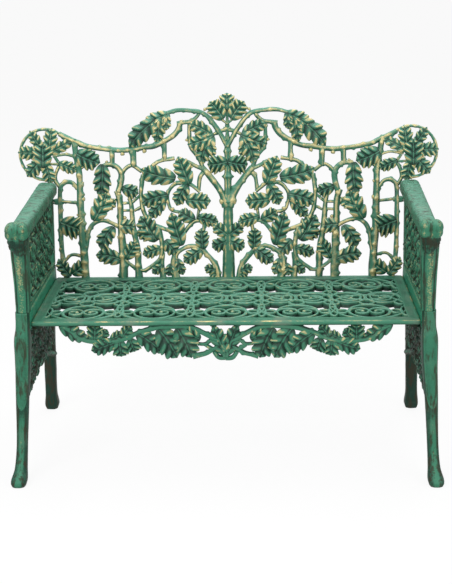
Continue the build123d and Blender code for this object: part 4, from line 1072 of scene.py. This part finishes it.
def arm_head(side, seed):
    """The carved head at the front of an arm: a cap of two lobes over a muzzle and a beard."""
    balls = [((side * (ARM_X + x), y, z), radii) for (x, y, z), radii in HEAD]
    points, normals, faces = blended("head", balls, 2.0, 2)
    rough = np.array([noise.fractal(Vector(p) * 70 + Vector((seed, 0, 0)), 0.9, 2.1, 4) for p in points])
    x, y, z = points.T / MM
    across = side * x - ARM_X - 6
    cap = np.clip((z - BROW + 2) / 4, 0, 1)
    fur = np.cos(across * 2 * math.pi / 5 + 2 * rough) * (1 - cap)
    points = points + normals * ((0.8 * np.clip(rough, -1.4, 1.4) + 0.7 * fur) * MM)[:, None]
    parting = bump_at(across, 4) * np.clip((-y - 270) / 8, 0, 1) * bump_at(z - BROW - 8, 9)
    lobes = bump_at(np.abs(across) - 19, 5) * cap * np.clip(-normals[:, 1], 0, 1)
    # Painted top light: faces that point up get more relief, so they are lighter and more gilt.
    relief = 0.24 + 0.18 * cap + 0.14 * np.clip(normals[:, 2], -0.6, 1) + 0.16 * rough + 0.05 * fur
    relief = relief + 0.40 * parting + 0.34 * lobes - 0.10 * bump_at(z - 655, 12)
    return points, faces, np.clip(relief, 0, 1)


def make_arms(settings):
    for side, name in zip(SIDES, ("arm_right", "arm_left")):
        casting = Casting()
        limb(casting, POST_SECTIONS, side, fluted(31 + side))
        foot = np.array(mirrored(side, UPRIGHT)[0])
        up = np.array((0, math.sin(RECLINE), math.cos(RECLINE)))
        beam(casting, foot, foot + up * UPRIGHT_LENGTH, UPRIGHT_SIZE, seed=41 + side, power=0.55,
             lift=(0, 1, 0), rows=60)
        points, faces, relief = arm_head(side, 51)
        index = casting.add(points, relief)
        casting.faces += [tuple(int(index[i]) for i in face) for face in faces]
        sill = mirrored(side, *[(ARM_PANEL_X, y, PANEL_SILL_Z) for y in (POST_Y, REAR_Y)])
        beam(casting, *sill, PANEL_SILL_SIZE, seed=61 + side)
        spot = on_side(ARM_PANEL_X, side)
        # Painted shade: the side panel's vines and scroll are painted darker.
        casting.painted_shade = 0.14
        vines(casting, spot, ARM_VINES, SEAM + 10, ARM_TOP - ARM_SIZE[1], ARM_VINE, 70, settings)
        stem(casting, spot, ARM_SCROLL, 11, 11, 2, 131, settings.stem_depth, step=PANEL_STEP)
        piece(name + "_casting", casting.mesh(name), verdigris(name, **FINISHES["arm"]),
              [name])
        rail = Casting()
        arm_rail(rail, side, 81)
        piece(name + "_rail", rail.mesh(name + "_rail"), verdigris(name + "_rail", **FINISHES["arm_rail"]),
              [name])


def make_legs(settings):
    for side, name in zip(SIDES, ("leg_frame_right", "leg_frame_left")):
        casting = Casting()
        # Painted shade: the front leg is painted a little darker.
        casting.painted_shade = 0.10
        limb(casting, FRONT_LEG, side, leg_skin(91 + side))
        # Painted shade: the rear leg, ledges, bosses, pad and skirt are painted much darker.
        casting.painted_shade = 0.46
        limb(casting, REAR_LEG, side, plain_skin(95 + side))
        rail_x, rail_width = (RAIL_INNER + RAIL_OUTER) / 2 + 0.2, RAIL_OUTER - RAIL_INNER
        middle = (SEAM + LEDGE_BOTTOM) / 2
        rail = Casting()
        beam(rail, *mirrored(side, *[(rail_x, y, middle) for y in (POST_Y, REAR_Y)]),
             (rail_width, SEAM - LEDGE_BOTTOM), seed=101 + side, power=0.3, level=0.42)
        piece(name + "_rail", rail.mesh(name + "_rail"), verdigris(name + "_rail", **FINISHES["leg_rail"]),
              [name])
        ledge_x, ledge_width = (LEDGE_INNER + RAIL_INNER) / 2, RAIL_INNER - LEDGE_INNER
        for low, high in LEDGES:
            beam(casting, *mirrored(side, (ledge_x, low, LEDGE_Z), (ledge_x, high, LEDGE_Z)),
                 (ledge_width, LEDGE_HEIGHT), seed=low)
        for y in BOSSES:
            beam(casting, *mirrored(side, *[(x, y, BOSS_Z) for x in BOSS_SPAN]), BOSS_SIZE, seed=y,
                 power=0.95)
        beam(casting, *mirrored(side, *REAR_PAD), REAR_PAD_SIZE, seed=7, lift=(1, 0, 0))
        spot = on_side(SKIRT_X, side)
        vines(casting, spot, SKIRT_VINES, UNDERSIDE + 4, SKIRT_LOW, SKIRT_VINE, 110, settings)
        stem(casting, spot, SKIRT_EDGE, 13, 13, 0, 171, settings.stem_depth, step=PANEL_STEP)
        stem(casting, spot, SKIRT_SCROLL, 11, 11, 1, 175, settings.stem_depth, step=PANEL_STEP)
        piece(name + "_casting", casting.mesh(name), verdigris(name, **FINISHES["leg"]),
              [name])


def finish_fixings():
    """The bars under the seat and the fasteners keep their solids and get a finish."""
    bearer, steel = bearer_paint(), fastener_steel()
    for name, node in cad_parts.items():
        if node.hide_render:
            continue
        material = bearer if name.startswith("seat_bearer") else steel
        node.data.materials.clear()
        node.data.materials.append(material)


# ---------------------------------------------------------------------------
# Studio
# ---------------------------------------------------------------------------
def add_camera(studio):
    pan, dip, roll = studio.turn
    ahead = Vector((math.sin(pan) * math.cos(dip), math.cos(pan) * math.cos(dip), -math.sin(dip)))
    right = Vector((math.cos(pan), -math.sin(pan), 0))
    up = right.cross(ahead)
    rolled_right = right * math.cos(roll) + up * math.sin(roll)
    rolled_up = up * math.cos(roll) - right * math.sin(roll)
    data = bpy.data.cameras.new("camera")
    data.lens = studio.lens
    camera = bpy.data.objects.new("camera", data)
    turn = Matrix((rolled_right, rolled_up, -ahead)).transposed().to_4x4()
    camera.matrix_world = Matrix.Translation(Vector(studio.camera)) @ turn
    bpy.context.scene.collection.objects.link(camera)
    bpy.context.scene.camera = camera


# The soft lamps: place and size in metres, and power in watts
LAMPS = {"key": ((-1.8, -3.0, 3.0), 2.2, 95), "fill": ((2.6, -2.6, 1.8), 2.4, 40),
         "top": ((0.2, 0.8, 3.4), 2.4, 60)}
LAMP_AIM = (0, 0, 0.5)


def add_lamp(name, place, size, power):
    data = bpy.data.lights.new(name, "AREA")
    data.size = size
    data.energy = power
    lamp = bpy.data.objects.new(name, data)
    lamp.location = place
    lamp.rotation_euler = (Vector(LAMP_AIM) - Vector(place)).to_track_quat("-Z", "Y").to_euler()
    bpy.context.scene.collection.objects.link(lamp)


def seen_directly(paint):
    """1 for what the camera sees, straight or through gloss or glass, and 0 for light on the bench."""
    rays = [paint.node("ShaderNodeLightPath", output=name)
            for name in ("Is Camera Ray", "Is Glossy Ray", "Is Transmission Ray")]
    return rays[0].sum("MAXIMUM", rays[0].sum("MAXIMUM", rays[0], rays[1]), rays[2])


def add_floor(studio):
    work = bmesh.new()
    bmesh.ops.create_grid(work, x_segments=8, y_segments=8, size=30)
    mesh = bpy.data.meshes.new("floor")
    work.to_mesh(mesh)
    work.free()
    paint = Paint("floor_white")
    shadowed = paint.node("ShaderNodeBsdfDiffuse", {}, {"Color": linear(studio.floor)})
    white = paint.node("ShaderNodeEmission", {}, {"Color": (1, 1, 1, 1), "Strength": 1.0})
    mixed = paint.node("ShaderNodeMixShader", {}, {0: 0.9 * seen_directly(paint), 1: shadowed, 2: white})
    paint.node("ShaderNodeOutputMaterial", {}, {"Surface": mixed})
    mesh.materials.append(paint.material)
    floor = bpy.data.objects.new("floor", mesh)
    bpy.context.scene.collection.objects.link(floor)


def light_world(studio):
    world = bpy.data.worlds.new("studio")
    world.use_nodes = True
    world.node_tree.nodes.clear()
    paint = Paint.__new__(Paint)
    paint.tree = world.node_tree
    seen = seen_directly(paint)
    strength = studio.sky + (1 - studio.sky) * seen
    sky = paint.node("ShaderNodeBackground", {}, {"Color": (1, 1, 1, 1), "Strength": strength})
    paint.node("ShaderNodeOutputWorld", {}, {"Surface": sky})
    bpy.context.scene.world = world


def make_studio(studio):
    add_camera(studio)
    add_floor(studio)
    light_world(studio)
    for name, lamp in LAMPS.items():
        add_lamp(name, *lamp)
    bpy.context.scene.view_settings.view_transform = "Standard"


# ---------------------------------------------------------------------------
# Operators, panel and registration
# ---------------------------------------------------------------------------
class BENCH_OT_studio(bpy.types.Operator):
    """Set the camera, the pale floor and the soft lamps"""
    bl_idname = "bench.studio"
    bl_label = "Studio"

    def execute(self, context):
        make_studio(context.scene.bench_studio)
        return {"FINISHED"}


class BENCH_OT_back(bpy.types.Operator):
    """Cast the back: a tree, its branches, leaves and rosettes"""
    bl_idname = "bench.back"
    bl_label = "Back"

    def execute(self, context):
        make_back(context.scene.bench_foliage)
        return {"FINISHED"}


class BENCH_OT_seat(bpy.types.Operator):
    """Cast the seat: a rim round pierced rings"""
    bl_idname = "bench.seat"
    bl_label = "Seat"

    def execute(self, context):
        make_seat(context.scene.bench_seat)
        return {"FINISHED"}


class BENCH_OT_apron(bpy.types.Operator):
    """Cast the apron under the seat's front edge"""
    bl_idname = "bench.apron"
    bl_label = "Apron"

    def execute(self, context):
        make_apron(context.scene.bench_foliage)
        return {"FINISHED"}


class BENCH_OT_arms(bpy.types.Operator):
    """Cast both arms with their posts, heads and side panels"""
    bl_idname = "bench.arms"
    bl_label = "Arms"

    def execute(self, context):
        make_arms(context.scene.bench_foliage)
        return {"FINISHED"}


class BENCH_OT_legs(bpy.types.Operator):
    """Cast both leg frames with their skirts"""
    bl_idname = "bench.legs"
    bl_label = "Leg frames"

    def execute(self, context):
        make_legs(context.scene.bench_foliage)
        return {"FINISHED"}


class BENCH_OT_fixings(bpy.types.Operator):
    """Finish the bearers and the fasteners"""
    bl_idname = "bench.fixings"
    bl_label = "Bearers and fasteners"

    def execute(self, context):
        finish_fixings()
        return {"FINISHED"}


OPERATORS = (BENCH_OT_studio, BENCH_OT_back, BENCH_OT_seat, BENCH_OT_apron, BENCH_OT_arms, BENCH_OT_legs,
             BENCH_OT_fixings)
GROUPS = {"bench_patina": BenchPatina, "bench_foliage": BenchFoliage, "bench_seat": BenchSeat,
          "bench_studio": BenchStudio}


class BENCH_PT_panel(bpy.types.Panel):
    """Lists the steps that build the bench"""
    bl_idname = "BENCH_PT_panel"
    bl_label = "Garden bench"
    bl_space_type = "VIEW_3D"
    bl_region_type = "UI"
    bl_category = "Bench"

    def draw(self, context):
        for operator in OPERATORS:
            self.layout.operator(operator.bl_idname)


def register():
    for kind in (*GROUPS.values(), *OPERATORS, BENCH_PT_panel):
        bpy.utils.register_class(kind)
    for name, group in GROUPS.items():
        setattr(bpy.types.Scene, name, bpy.props.PointerProperty(type=group))


def unregister():
    for name in GROUPS:
        delattr(bpy.types.Scene, name)
    for kind in reversed((*GROUPS.values(), *OPERATORS, BENCH_PT_panel)):
        bpy.utils.unregister_class(kind)


def main():
    register()
    for operator in OPERATORS:
        family, name = operator.bl_idname.split(".")
        getattr(getattr(bpy.ops, family), name)()


if __name__ == "__main__":
    main()
